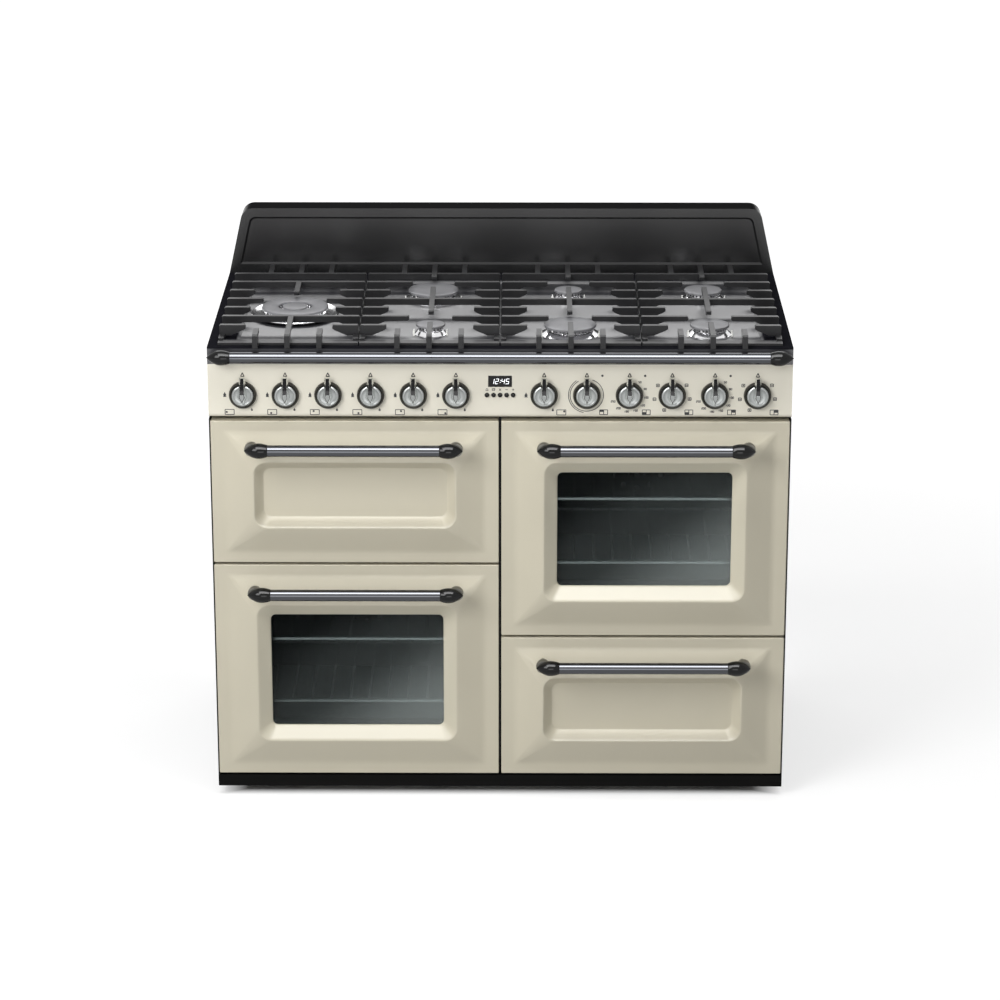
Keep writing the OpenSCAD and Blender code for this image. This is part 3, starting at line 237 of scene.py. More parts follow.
def add_coat(material, kind, full, none, roughness, ior):
    """A glassy coat whose weight falls from 1 to 0 as a coordinate's Z goes from full to none."""
    tree = material.node_tree
    height = add_split(tree, coordinate(tree, kind))["Z"]
    set_inputs(tree, tree.nodes["Principled BSDF"], {
        "Coat Weight": add_range(tree, height, full, none, 1.0, 0.0),
        "Coat Roughness": roughness, "Coat IOR": ior})
    return material


def hob_material():
    """Black enamel, with a glassy coat on the pressed wells that lie below the rim."""
    material = surface("hob_enamel", (0.012, 0.012, 0.015), 0.14, specular=0.0, grain=300,
                       bump=0.0, spread=0.02)
    tree = material.node_tree
    set_inputs(tree, tree.nodes["Principled BSDF"], {"Coat Tint": (0.93, 0.94, 1, 1)})
    return add_coat(material, "Object", RIM - 5 * MM, RIM - 2 * MM, roughness=0.40, ior=1.8)


def black_enamel(name, shade, ior):
    """Gloss black enamel, glassy on its upright faces and rounded edges."""
    material = surface(name, (shade, shade, shade * 1.03), 0.2, specular=0.0, grain=300, bump=0.0,
                       spread=0.02)
    return add_coat(material, "Normal", 0.55, 0.93, roughness=0.24, ior=ior)


def light_material(name, color, strength):
    """A lit digit."""
    material = surface(name, color, 0.4)
    tree = material.node_tree
    set_inputs(tree, tree.nodes["Principled BSDF"], {"Emission Color": [*color, 1],
                                                     "Emission Strength": strength})
    return material


CREAM_FINISH = {"roughness": 0.34, "coat": 0.2, "coat_roughness": 0.22, "specular": 0.25,
                "grain": 500, "bump": 0.02, "tint": 0.012}
CREAM = surface("cream_enamel", (0.60, 0.56, 0.445), **CREAM_FINISH)
# The fronts' cream, painted lighter on the fascia to make up for the rail's shade there
CREAM_PAINTED_LIGHTER = surface("fascia_cream_painted_lighter", (0.80, 0.765, 0.655), **CREAM_FINISH)
BLACK = black_enamel("black_enamel", 0.010, 1.3)
SATIN = surface("satin_black", (0.010, 0.010, 0.0098), 0.5, specular=0.0, grain=300, bump=0.0)
HOB = hob_material()
PANEL = black_enamel("splashback_enamel", 0.013, 1.5)
IRON = surface("cast_iron", (0.018, 0.018, 0.019), 0.34, specular=0.22, grain=1600, bump=0.12,
               depth=0.0004, spread=0.06, tint=0.12)
CAPS = surface("burner_cap", (0.19, 0.19, 0.20), 0.30, specular=0.16, grain=2200, bump=0.08,
               spread=0.05, tint=0.08)
ALLOY = surface("burner_alloy", (0.82, 0.82, 0.83), 0.12, metallic=1.0, grain=900, bump=0.03)
CHROME = surface("chrome", (0.075, 0.077, 0.083), 0.06, metallic=1.0, grain=400, bump=0.0,
                 spread=0.01, tint=0.01)
SHELF = surface("shelf_wire", (0.62, 0.63, 0.63), 0.22, metallic=0.8, grain=400, bump=0.0)
POST = surface("satin_steel", (0.20, 0.195, 0.175), 0.34, metallic=1.0, grain=900, bump=0.02)
SILVER = surface("knob_silver", (0.27, 0.28, 0.275), 0.32, metallic=1.0, grain=1500, bump=0.02)
LEVER = surface("knob_lever", (0.74, 0.75, 0.74), 0.18, metallic=1.0, grain=1500, bump=0.01)
BEZEL = surface("bezel", (0.040, 0.038, 0.031), 0.28, metallic=0.3, specular=0.25, grain=900)
INLAY = surface("black_gloss", (0.004, 0.004, 0.004), 0.09, specular=0.22, grain=900, bump=0.0)
PRINT = surface("black_print", (0.018, 0.018, 0.018), 0.5, grain=900, bump=0.0)
PALE = surface("pale_print", (0.86, 0.86, 0.82), 0.5, grain=900, bump=0.0)
RUBBER = surface("black_rubber", (0.02, 0.02, 0.02), 0.65, grain=1500, bump=0.1)
ZINC = surface("zinc_sheet", (0.56, 0.57, 0.59), 0.38, metallic=0.9, grain=90, bump=0.03, tint=0.1)
CAVITY = surface("cavity_enamel", (0.014, 0.015, 0.015), 0.30, specular=0.12, grain=700, bump=0.02)
LINER = surface("liner_enamel", (0.03, 0.031, 0.033), 0.25, coat=0.4, grain=700, bump=0.02)
BRASS = surface("gas_brass", (0.70, 0.52, 0.24), 0.3, metallic=1.0, grain=900, bump=0.02)
STEEL = surface("bright_steel", (0.30, 0.305, 0.31), 0.26, metallic=1.0, grain=900, bump=0.02)
DIGITS = light_material("lit_digits", (0.95, 0.97, 1.0), 1.0)
GLASS = glass_material()

NODE_MATERIALS = {
    "side_panels": BLACK, "rear_panel": ZINC, "base_chassis": SATIN, "front_frame": BLACK,
    "plinth": SATIN, "levelling_feet": RUBBER, "control_bracket": ZINC,
    "gas_manifold": BRASS, "hob_top": HOB, "splashback": PANEL,
    "left_oven_cavity": CAVITY, "right_oven_cavity": CAVITY, "grill_cavity": CAVITY,
    "oven_shelves": SHELF, "heating_elements": STEEL, "door_seals": RUBBER,
    "fan_motors": ZINC, "left_fan": STEEL, "right_fan": STEEL,
    "left_door_glass": GLASS, "right_door_glass": GLASS,
    "left_door_liner": LINER, "right_door_liner": LINER, "grill_door_liner": LINER,
    "drawer_box": ZINC, "control_fascia": CREAM_PAINTED_LIGHTER, "clock_window": INLAY,
    **{f"pan_support_{k}": IRON for k in range(1, 5)},
}


# ---------- building pieces ----------

def new_mesh_object(name, mesh_maker, material_list):
    """A mesh object made by mesh_maker(bm)."""
    bm = bmesh.new()
    mesh_maker(bm)
    mesh = bpy.data.meshes.new(name)
    bm.to_mesh(mesh)
    bm.free()
    for material in material_list:
        mesh.materials.append(material)
    piece = bpy.data.objects.new(name, mesh)
    bpy.context.scene.collection.objects.link(piece)
    return piece


def make_object(name, mesh_maker, material_list, body, sharp=None):
    """A mesh piece that rides on a body: flat, or smooth but for edges of sharp degrees or more."""
    piece = new_mesh_object(name, mesh_maker, material_list)
    if sharp:
        piece.data.shade_smooth()
        piece.data.set_sharp_from_angle(angle=math.radians(sharp))
    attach(piece, body)
    return piece


def add_bevel(piece, width, segments, angle):
    """Rounded edges where faces meet at more than an angle in degrees."""
    bevel = piece.modifiers.new("edges", "BEVEL")
    bevel.width = width
    bevel.segments = segments
    bevel.limit_method = "ANGLE"
    bevel.angle_limit = math.radians(angle)


def keep_flats(piece):
    """Normals that leave the large flat faces flat beside their soft edges."""
    weighted = piece.modifiers.new("flats", "WEIGHTED_NORMAL")
    weighted.keep_sharp = True
    weighted.weight = 90


def lathe(bm, profile, matrix, segments, closed=False):
    """Turns a profile of (radius, height) points about the local Z axis; a closed one is a ring."""
    rings = []
    for radius, height in profile:
        if radius < 1e-7:
            rings.append([bm.verts.new(matrix @ Vector((0, 0, height)))])
            continue
        rings.append([
            bm.verts.new(matrix @ Vector((
                radius * math.cos(math.tau * i / segments),
                radius * math.sin(math.tau * i / segments), height)))
            for i in range(segments)
        ])
    pairs = list(zip(rings, rings[1:]))
    if closed:
        pairs.append((rings[-1], rings[0]))
    for low, high in pairs:
        for i in range(segments):
            j = (i + 1) % segments
            corners = (low[i % len(low)], low[j % len(low)],
                       high[j % len(high)], high[i % len(high)])
            unique = list(dict.fromkeys(corners))
            if len(unique) > 2:
                bm.faces.new(unique)


def box(bm, low, high):
    """A block between two corners."""
    made = bmesh.ops.create_cube(bm, size=1.0)["verts"]
    low, high = Vector(low), Vector(high)
    for v in made:
        v.co = Vector(low[i] + (v.co[i] + 0.5) * (high[i] - low[i]) for i in range(3))


def rounded_outline(w, h, r, steps):
    """Points of a rectangle with rounded corners, centred."""
    points = []
    for quarter in range(4):
        cx = (w / 2 - r) * (1 if quarter in (0, 3) else -1)
        cz = (h / 2 - r) * (1 if quarter < 2 else -1)
        for i in range(steps + 1):
            a = math.radians(90 * quarter + 90 * i / steps)
            points.append((cx + r * math.cos(a), cz + r * math.sin(a)))
    return points


BEND_STEPS = 5


def soften(keys, fillets):
    """Rounds the corners of a chain of key sections; each section is a list of numbers."""
    def mix(a, b, t):
        return [p + (q - p) * t for p, q in zip(a, b)]

    def reach(a, b):
        return math.dist((max(a[0], a[1]), a[2]), (max(b[0], b[1]), b[2]))

    chain = [keys[0]]
    for before, key, after, fillet in zip(keys, keys[1:], keys[2:], fillets):
        start = mix(key, before, min(0.48, fillet / max(reach(key, before), 1e-6)))
        end = mix(key, after, min(0.48, fillet / max(reach(key, after), 1e-6)))
        for i in range(BEND_STEPS + 1):
            t = i / BEND_STEPS
            chain.append(mix(mix(start, key, t), mix(key, end, t), t))
    chain.append(keys[-1])
    return chain


# ---------- pressed fronts ----------

def pressing(name, node, body, window, hinged):
    """A pressed enamelled front with soft edges, lofted through its rings."""
    low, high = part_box(node)
    width, height = high.x - low.x, high.z - low.z
    centre = Vector(((low.x + high.x) / 2, FRONT, (low.z + high.z) / 2))
    wall = WINDOW_WALL if window else BLANK_WALL
    inner_r = WINDOW_R if window else BLANK_R
    # Each key section: inset at the sides, inset at top and bottom, depth, corner radius
    lip_x, lip_z = BORDER_W + SLOPE, BORDER_H + SLOPE
    keys = [
        [0, 0, DOOR_D, EDGE_R],
        [0, 0, 0, EDGE_R],
        [BORDER_W, BORDER_H, 0, 5 * MM],
        [lip_x, lip_z, -LIP_OUT, LIP_R],
        [lip_x + LIP_LAND, lip_z + LIP_LAND, -LIP_OUT, LIP_R - LIP_LAND],
        [lip_x + LIP_LAND + wall, lip_z + LIP_LAND + wall, 0, inner_r],
        [lip_x + LIP_LAND + wall + 4 * MM, lip_z + LIP_LAND + wall + 4 * MM, 0, inner_r - 2 * MM],
    ]
    bends = BENDS
    if window:
        keys[-1] = [keys[-2][0] + 0.5 * MM, keys[-2][1] + 0.5 * MM, SKIN, inner_r]
        bends = [*BENDS[:-1], WINDOW_BEND]
    outer = soften(keys, bends)

    def make(bm):
        def ring(section, shift, inset):
            ix, iz, depth, r = section
            r = max(r - inset, 0.5 * MM)
            outline = rounded_outline(width - 2 * (ix + inset), height - 2 * (iz + inset), r, 10)
            return [bm.verts.new(centre + Vector((x, depth + shift, z))) for x, z in outline]

        inner = [list(k) for k in keys]
        inner[0][2] -= SKIN
        if window:
            inner[-1][2] -= 0.5 * MM
        rings = [ring(section, 0, 0) for section in outer]
        # The first two sections are the outer wall, which is as thick as the sheet
        inside = [ring(section, SKIN, SKIN if k < 2 else 0) for k, section in enumerate(inner)]
        if window:
            rings += inside[-2::-1]
        else:
            bm.faces.new(rings[-1])
            bm.faces.new(inside[-1][::-1])
        chains = [rings] if window else [rings, inside[::-1]]
        for chain in chains:
            for a, b in zip(chain, chain[1:]):
                join_rings(bm, a, b)
        join_rings(bm, inside[0], rings[0])
        bmesh.ops.recalc_face_normals(bm, faces=bm.faces)

    piece = make_object(name, make, [CREAM], body)
    piece.data.shade_smooth()
    if hinged:
        cut_hinge_slots(piece, low, high)
    keep_flats(piece)
    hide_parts(node)


def join_rings(bm, a, b):
    """Faces between two rings of the same number of points."""
    count = len(a)
    for i in range(count):
        j = (i + 1) % count
        bm.faces.new((a[i], a[j], b[j], b[i]))


HINGE_INSET = 60 * MM  # hinge slots: from a door's side, width, height and play to the sheet
SLOT_W = 8 * MM
SLOT_TOP = 20.5 * MM
SLOT_PLAY = 0.4 * MM
PAST_EDGE = 1 * MM  # how far the cutter reaches below the door
PAST_BACK = 5 * MM  # and behind it


def cut_hinge_slots(piece, low, high):
    """Slots in a door's lower edge that let it swing round the fixed hinge brackets."""
    def make(bm):
        for x in (low.x + HINGE_INSET, high.x - HINGE_INSET):
            box(bm, (x - SLOT_W / 2, FRONT + SKIN + SLOT_PLAY, low.z - PAST_EDGE),
                (x + SLOT_W / 2, FRONT + DOOR_D + PAST_BACK, low.z + SLOT_TOP))

    cutter = new_mesh_object("slot_cutter", make, [CREAM])
    cutter.data.shade_smooth()
    cut = piece.modifiers.new("slots", "BOOLEAN")
    cut.operation = "DIFFERENCE"
    cut.solver = "EXACT"
    cut.object = cutter
    depsgraph = bpy.context.evaluated_depsgraph_get()
    cut_mesh = bpy.data.meshes.new_from_object(piece.evaluated_get(depsgraph))
    piece.modifiers.remove(cut)
    piece.data = cut_mesh
    bpy.data.objects.remove(cutter)


# ---------- handles and the front rail ----------

CAP_SWELL = 0.37  # where a cap is thickest, as a part of its length
CAP_STEPS = 28


def cap_profile():
    """Leaf outline of an end cap: (radius, distance from its flat mouth)."""
    points = [(0, 0), (CAP_MOUTH_R - 0.6 * MM, 0), (CAP_MOUTH_R, 0.6 * MM)]
    for i in range(1, CAP_STEPS):
        t = i / CAP_STEPS
        if t < CAP_SWELL:
            radius = CAP_MOUTH_R + (CAP_R - CAP_MOUTH_R) * math.sin(math.pi / 2 * t / CAP_SWELL)
        else:
            radius = CAP_R * (1 - ((t - CAP_SWELL) / (1 - CAP_SWELL)) ** 2.2)
        points.append((radius, CAP_L * t))
    points.append((0, CAP_L))
    return points


def end_caps(bm, centre, half):
    """Two leaf caps, pointing outwards from the ends of a bar."""
    for side in (-1, 1):
        turn = Matrix.Rotation(math.radians(90 * side), 4, "Y")
        matrix = Matrix.Translation(centre + Vector((side * half, 0, 0))) @ turn
        lathe(bm, cap_profile(), matrix, 48)


def bar(bm, centre, length):
    """A round bar along X, about its middle."""
    matrix = Matrix.Translation(centre - Vector((length / 2, 0, 0))) @ Matrix.Rotation(
        math.radians(90), 4, "Y")
    lathe(bm, [(0, 0), (BAR_R, 0), (BAR_R, length), (0, length)], matrix, 64)


def post(bm, centre, profile):
    """A turned post along Y, from the bar's axis back to the front."""
    matrix = Matrix.Translation(centre) @ Matrix.Rotation(math.radians(-90), 4, "X")
    lathe(bm, profile, matrix, 40)


def neck(bm, start, end, radius):
    """A round arm from a post's collar back to the front, with both ends upright."""
    segments = 32
    rings = []
    for place in (start, end):
        rings.append([bm.verts.new(place + Vector((
            radius * math.cos(math.tau * i / segments), 0,
            radius * math.sin(math.tau * i / segments)))) for i in range(segments)])
    join_rings(bm, rings[1], rings[0])
    bm.faces.new(rings[1])
    bm.faces.new(rings[0][::-1])


def door_handle(prefix, node, body):
    """Chrome bar, two gloss black caps and two steel posts."""
    low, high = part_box(node)
    centre = Vector(((low.x + high.x) / 2, FRONT - HANDLE_OUT, high.z - CAP_R))
    tube = make_object(prefix + "_handle_bar", lambda bm: bar(bm, centre, BAR_L), [CHROME],
                       body, 40)
    caps = make_object(prefix + "_handle_caps", lambda bm: end_caps(bm, centre, BAR_L / 2),
                       [INLAY], body, 40)

    def posts(bm):
        collar = [(0, 5 * MM), (12.6 * MM, 5 * MM), (13.4 * MM, 7 * MM), (13.4 * MM, 17 * MM),
                  (12.2 * MM, 19.5 * MM), (8 * MM, 20.5 * MM), (0, 20.5 * MM)]
        for side in (-1, 1):
            spot = centre + Vector((side * (BAR_L / 2 + POST_IN), 0, 0))
            post(bm, spot, collar)
            neck(bm, spot + Vector((0, 20 * MM, -1 * MM)),
                 spot + Vector((0, HANDLE_OUT - 6.5 * MM, -6 * MM)), 7 * MM)

    legs = make_object(prefix + "_handle_posts", posts, [POST], body, 50)
    for piece in (tube, caps, legs):
        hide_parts(node)


def front_rail():
    """Chrome bar with black leaf caps along the hob's front edge, on two short posts."""
    centre = Vector((0, FRONT - RAIL_OUT, RIM - RAIL_DROP))
    half = cad_high.x - CAP_L
    tube = make_object("rail_bar", lambda bm: bar(bm, centre, 2 * half), [CHROME], "root",
                       40)
    caps = make_object("rail_caps", lambda bm: end_caps(bm, centre, half), [INLAY], "root",
                       40)

    def posts(bm):
        profile = [(0, 2 * MM), (10 * MM, 2 * MM), (10 * MM, RAIL_OUT + 1 * MM),
                   (0, RAIL_OUT + 1 * MM)]
        for side in (-1, 1):
            post(bm, centre + Vector((side * (half + CAP_L / 3), 0, 0)), profile)

    legs = make_object("rail_posts", posts, [INLAY], "root", 50)
    for piece in (tube, caps, legs):
        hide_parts("front_rail")


# ---------- knobs ----------

BEZEL_R = 26 * MM
BEZEL_OUT = 8 * MM  # how far a bezel stands out of the fascia
DISC_R = 20.5 * MM
DISC_OUT = 12 * MM
LEVER_OUT = 25 * MM
LEVER_REACH = 36.5 * MM  # from the knob's axis up to the lever's point
LEVER_W = 19 * MM
LEVER_TAIL = 18.6 * MM
RIDGE_W = 10.4 * MM  # the lever's black front face


def facing(x, z):
    """Local frame of a control: its Z axis points out of the fascia, its Y axis up."""
    return Matrix.Translation((x, FRONT, z)) @ Matrix.Rotation(math.radians(90), 4, "X")


def bezels():
    """Dark rings round the knobs, with a rounded rim and a flat land inside it."""
    inner = DISC_R + 0.8 * MM
    profile = [(6 * MM, 0), (BEZEL_R, 0), (BEZEL_R, BEZEL_OUT * 0.55),
               (BEZEL_R - 0.6 * MM, BEZEL_OUT * 0.85), (BEZEL_R - 1.6 * MM, BEZEL_OUT),
               (BEZEL_R - 2.4 * MM, BEZEL_OUT * 0.98), (BEZEL_R - 2.8 * MM, BEZEL_OUT * 0.8),
               (inner + 1.0 * MM, BEZEL_OUT * 0.78), (inner + 0.4 * MM, BEZEL_OUT * 0.7),
               (inner, BEZEL_OUT * 0.5), (inner, 1.5 * MM), (6 * MM, 1.5 * MM)]

    def make(bm):
        for x in KNOB_XS.values():
            lathe(bm, profile, facing(x, KNOB_Z), 64, closed=True)

    piece = make_object("bezel_rings", make, [BEZEL], "root", 35)
    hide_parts("knob_bezels")


def lever(bm, matrix):
    """Pointed lever: silver flanks, a black front face and a silver diamond at its tail."""
    foot = DISC_OUT - 1.2 * MM
    half = RIDGE_W / 2
    base = [(0, -LEVER_TAIL), (LEVER_W / 2, -2 * MM), (LEVER_W / 2 - 2 * MM, 12 * MM),
            (half + 0.2 * MM, LEVER_REACH), (-0.2 * MM - half, LEVER_REACH),
            (2 * MM - LEVER_W / 2, 12 * MM), (-LEVER_W / 2, -2 * MM)]
    top = [(0, -10 * MM, LEVER_OUT - 2 * MM), (half, 1 * MM, LEVER_OUT),
           (half - 1 * MM, 7 * MM, LEVER_OUT),
           (half - 2 * MM, LEVER_REACH - 0.8 * MM, foot + 3.5 * MM),
           (2 * MM - half, LEVER_REACH - 0.8 * MM, foot + 3.5 * MM),
           (1 * MM - half, 7 * MM, LEVER_OUT), (-half, 1 * MM, LEVER_OUT)]
    low = [bm.verts.new(matrix @ Vector((x, y, foot))) for x, y in base]
    high = [bm.verts.new(matrix @ Vector(p)) for p in top]
    for i in range(7):
        j = (i + 1) % 7
        bm.faces.new((low[i], low[j], high[j], high[i])).material_index = 1
    bm.faces.new(low[::-1]).material_index = 1
    for corners in ((0, 1, 6), (1, 2, 5, 6), (2, 3, 4, 5)):
        bm.faces.new([high[c] for c in corners]).material_index = 2
    # Silver diamond, let into the tail of the black face
    inset = 0.95 * MM
    proud = 0.15 * MM
    outline = [(0, -10 * MM + 2 * inset, LEVER_OUT - 1.66 * MM + proud),
               (half - inset, 0.9 * MM, LEVER_OUT + proud),
               (half - 1 * MM - inset, 7 * MM - inset, LEVER_OUT + proud),
               (inset + 1 * MM - half, 7 * MM - inset, LEVER_OUT + proud),
               (inset - half, 0.9 * MM, LEVER_OUT + proud)]
    face = [bm.verts.new(matrix @ Vector(p)) for p in outline]
    sunk = [bm.verts.new(matrix @ Vector((x, y, z - 2 * proud))) for x, y, z in outline]
    bm.faces.new(face)
    join_rings(bm, sunk, face)
    bm.faces.new(sunk[::-1])


def knobs():
    """Twelve knobs: a turned disc with a groove, a spindle and a lever."""
    disc = [(0, 2.5 * MM), (DISC_R, 2.5 * MM), (DISC_R, DISC_OUT - 2 * MM),
            (DISC_R - 0.4 * MM, DISC_OUT - 1.2 * MM), (DISC_R - 1 * MM, DISC_OUT - 0.7 * MM),
            (DISC_R - 2.4 * MM, DISC_OUT), (DISC_R - 3.4 * MM, DISC_OUT),
            (DISC_R - 5 * MM, DISC_OUT - 1.0 * MM), (DISC_R - 9 * MM, DISC_OUT - 1.7 * MM),
            (6 * MM, DISC_OUT - 1.4 * MM), (0, DISC_OUT - 1.2 * MM)]
    spindle = [(0, -38 * MM), (3 * MM, -38 * MM), (3 * MM, 2.6 * MM), (0, 2.6 * MM)]
    for k, x in KNOB_XS.items():
        matrix = facing(x, KNOB_Z)

        def make(bm):
            lathe(bm, disc, matrix, 64)
            lathe(bm, spindle, matrix, 24)
            lever(bm, matrix)

        piece = make_object(f"knob_{k}_dressed", make, [SILVER, LEVER, INLAY], f"knob_{k}",
                            28)
        add_bevel(piece, 0.5 * MM, 2, 24)
        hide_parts(f"knob_{k}")


# ---------- clock, buttons and prints ----------

PRINT_T = 0.12 * MM  # thickness of a printed mark
LINE = 1.35 * MM  # width of a printed line
MARK_UP = 38 * MM  # triangles and lamps above the knobs' axis
SCALE_R = 32.5 * MM  # radius of the numbers round a thermostat
THERMOSTATS = (9, 11)
FUNCTION_SWITCHES = (10, 12)
GRILL = 8
SEGMENTS = {"1": "bc", "2": "abged", "4": "fgbc", "5": "afgcd"}
DIGIT_LEAN = 0.18  # sideways shift of a lit digit, per height
DIGIT_STEP = 8.2 * MM
COLON_STEP = 3.4 * MM


def flat_face(bm, points, y):
    """A thin upright plate with the given outline of (x, z) points, standing proud of y."""
    back = [bm.verts.new((x, y, z)) for x, z in points]
    front = [bm.verts.new((x, y - PRINT_T, z)) for x, z in points]
    bm.faces.new(front)
    bm.faces.new(back[::-1])
    join_rings(bm, back, front)


def stroke(bm, a, b, width, y):
    """A straight line of some width between two (x, z) points."""
    ax, az = a
    bx, bz = b
    length = math.hypot(bx - ax, bz - az)
    nx, nz = -(bz - az) / length * width / 2, (bx - ax) / length * width / 2
    flat_face(bm, [(ax + nx, az + nz), (ax - nx, az - nz), (bx - nx, bz - nz), (bx + nx, bz + nz)],
              y)


def polyline(bm, points, width, y):
    for a, b in zip(points, points[1:]):
        stroke(bm, a, b, width, y)


def disc_print(bm, x, z, radius, y, steps=16):
    flat_face(bm, [(x + radius * math.cos(math.tau * i / steps),
                    z + radius * math.sin(math.tau * i / steps)) for i in range(steps)], y)


def arc_print(bm, x, z, radius, start, end, y, steps):
    """An arc line; angles in degrees, clockwise from 12 o'clock."""
    points = []
    for i in range(steps + 1):
        a = math.radians(start + (end - start) * i / steps)
        points.append((x + radius * math.sin(a), z + radius * math.cos(a)))
    polyline(bm, points, LINE, y)


def digit(bm, x, z, size, glyph, y):
    """Seven-segment digit with its lower left corner at x, z."""
    w, h, t = size * 0.55, size, size * 0.10
    corners = {"a": ((0, h), (w, h)), "b": ((w, h), (w, h / 2)), "c": ((w, h / 2), (w, 0)),
               "d": ((0, 0), (w, 0)), "e": ((0, 0), (0, h / 2)), "f": ((0, h / 2), (0, h)),
               "g": ((0, h / 2), (w, h / 2))}
    for name in SEGMENTS[glyph]:
        (ax, az), (bx, bz) = corners[name]
        stroke(bm, (x + ax + DIGIT_LEAN * az, z + az), (x + bx + DIGIT_LEAN * bz, z + bz), t, y)


def flame(bm, x, z, size, y):
    """Small flame mark: a drop with a pointed top."""
    half = [(0.0, 1.0), (0.16, 0.62), (0.36, 0.32), (0.40, 0.08), (0.28, -0.18), (0.0, -0.30)]
    points = half + [(-px, pz) for px, pz in half[-2:0:-1]]
    flat_face(bm, [(x + px * size, z + pz * size) for px, pz in points], y)


def frame_print(bm, x, z, w, h, y):
    """Outline of a rectangle centred on x, z."""
    for s in (-1, 1):
        stroke(bm, (x - w / 2, z + s * h / 2), (x + w / 2, z + s * h / 2), LINE, y)
        stroke(bm, (x + s * w / 2, z - h / 2), (x + s * w / 2, z + h / 2), LINE, y)


def triangle_mark(bm, x, z, size, y):
    """Outlined triangle above a knob."""
    a, b, c = (x, z + size), (x - size * 0.62, z - size * 0.4), (x + size * 0.62, z - size * 0.4)
    polyline(bm, [a, b, c, a], size * 0.34, y)


# Place of the dot in each knob's little hob plan, across and up from its middle, in parts
PLAN_DOTS = {1: (-0.32, 0), 2: (-0.12, -0.22), 3: (-0.12, 0.22), 4: (0.12, -0.22),
             5: (0.12, 0.22), 6: (0.32, -0.22), 7: (0.32, 0.22)}
# The front that is filled in each other knob's plan: left edge, height and top, in millimetres
PLAN_CELLS = {8: (-7.2, 3.6, 4.2), 9: (-7.2, 4.6, 0.4), 10: (-7.2, 4.6, 0.4),
              11: (0.4, 4.8, 4.2), 12: (0.4, 4.8, 4.2)}
CELL_W = 6.8 * MM


def number(bm, x, z, size, y, value):
    """A small printed scale number, each digit one chain of strokes."""
    glyphs = {"1": [(0.5, 0), (0.5, 1)], "2": [(0, 1), (1, 1), (1, 0.5), (0, 0.5), (0, 0), (1, 0)],
              "0": [(0, 0), (0, 1), (1, 1), (1, 0), (0, 0)],
              "5": [(1, 1), (0, 1), (0, 0.5), (1, 0.5), (1, 0), (0, 0)],
              "6": [(1, 1), (0, 1), (0, 0), (1, 0), (1, 0.5), (0, 0.5)],
              "8": [(0, 0), (0, 1), (1, 1), (1, 0), (0, 0), (0, 0.5), (1, 0.5)]}
    step = size * 0.85
    x -= step * len(value) / 2
    for glyph in value:
        points = [(x + px * size * 0.55, z + (pz - 0.5) * size) for px, pz in glyphs[glyph]]
        polyline(bm, points, size * 0.27, y)
        x += step


def gas_marks(bm, x, dot, y):
    """Flames at a gas knob's two settings, and a plan of the hob with its burner's dot."""
    base = KNOB_Z - 3.8 * MM
    flame(bm, x - 34 * MM, KNOB_Z - 1.5 * MM, 7 * MM, y)
    stroke(bm, (x - 37 * MM, base), (x - 31 * MM, base), 1.4 * MM, y)
    flame(bm, x + 16.5 * MM, KNOB_Z - 30.5 * MM, 5.2 * MM, y)
    px, pz = x + (-25.5 if x < 0 else 32.5) * MM, KNOB_Z - 34 * MM
    frame_print(bm, px, pz, 17 * MM, 10 * MM, y)
    disc_print(bm, px + dot[0] * 17 * MM, pz + dot[1] * 9 * MM, 2.0 * MM, y)


def cavity_mark(bm, x, cell, y):
    """Little plan of the four fronts with one of them filled."""
    px, pz = x + 32 * MM, KNOB_Z - 33.5 * MM
    frame_print(bm, px, pz, 15 * MM, 9.4 * MM, y)
    stroke(bm, (px, pz - 4.7 * MM), (px, pz + 4.7 * MM), LINE, y)
    left, height, top = (value * MM for value in cell)
    flat_face(bm, [(px + a, pz + b) for a, b in
                   ((left, top), (left + CELL_W, top), (left + CELL_W, top - height),
                    (left, top - height))], y)


def function_marks(bm, x, y):
    """Small square marks round a function switch, but for the place of its plan."""
    for i in range(6):
        a = math.radians(52 + i * 51)
        cx, cz = x + 34 * MM * math.sin(a), KNOB_Z + 32 * MM * math.cos(a)
        if cz < KNOB_Z - 26 * MM and cx > x:
            continue
        frame_print(bm, cx, cz, 5.6 * MM, 5.2 * MM, y)
        if i % 2:
            disc_print(bm, cx, cz, 1.5 * MM, y, 10)
        else:
            stroke(bm, (cx - 2 * MM, cz), (cx + 2 * MM, cz), LINE, y)


def fascia_prints():
    """Marks printed on the fascia round the knobs and over the buttons."""
    y = FRONT

    def make(bm):
        for k, x in KNOB_XS.items():
            triangle_mark(bm, x, KNOB_Z + MARK_UP, 5.2 * MM, y)
            if k in PLAN_DOTS:
                gas_marks(bm, x, PLAN_DOTS[k], y)
        for k, cell in PLAN_CELLS.items():
            cavity_mark(bm, KNOB_XS[k], cell, y)
        # Grill: a growing double arc
        arc_print(bm, KNOB_XS[GRILL], KNOB_Z, 31.5 * MM, 20, 330, y, 48)
        arc_print(bm, KNOB_XS[GRILL], KNOB_Z, 34.5 * MM, 190, 325, y, 30)
        # Thermostats: a scale of numbers, clockwise
        for k in THERMOSTATS:
            for i, value in enumerate(("50", "80", "100", "120", "150", "180", "200", "250")):
                a = math.radians(38 + i * 30)
                number(bm, KNOB_XS[k] + SCALE_R * math.sin(a), KNOB_Z + SCALE_R * math.cos(a),
                       3.5 * MM, y, value)
        for k in FUNCTION_SWITCHES:
            function_marks(bm, KNOB_XS[k], y)
        # Lamps of the grill and the thermostats
        for k in (GRILL, *THERMOSTATS):
            disc_print(bm, KNOB_XS[k] + 29 * MM, KNOB_Z + MARK_UP, 2.3 * MM, y)
        button_icons(bm, y)

    make_object("fascia_prints", make, [PRINT], "root")


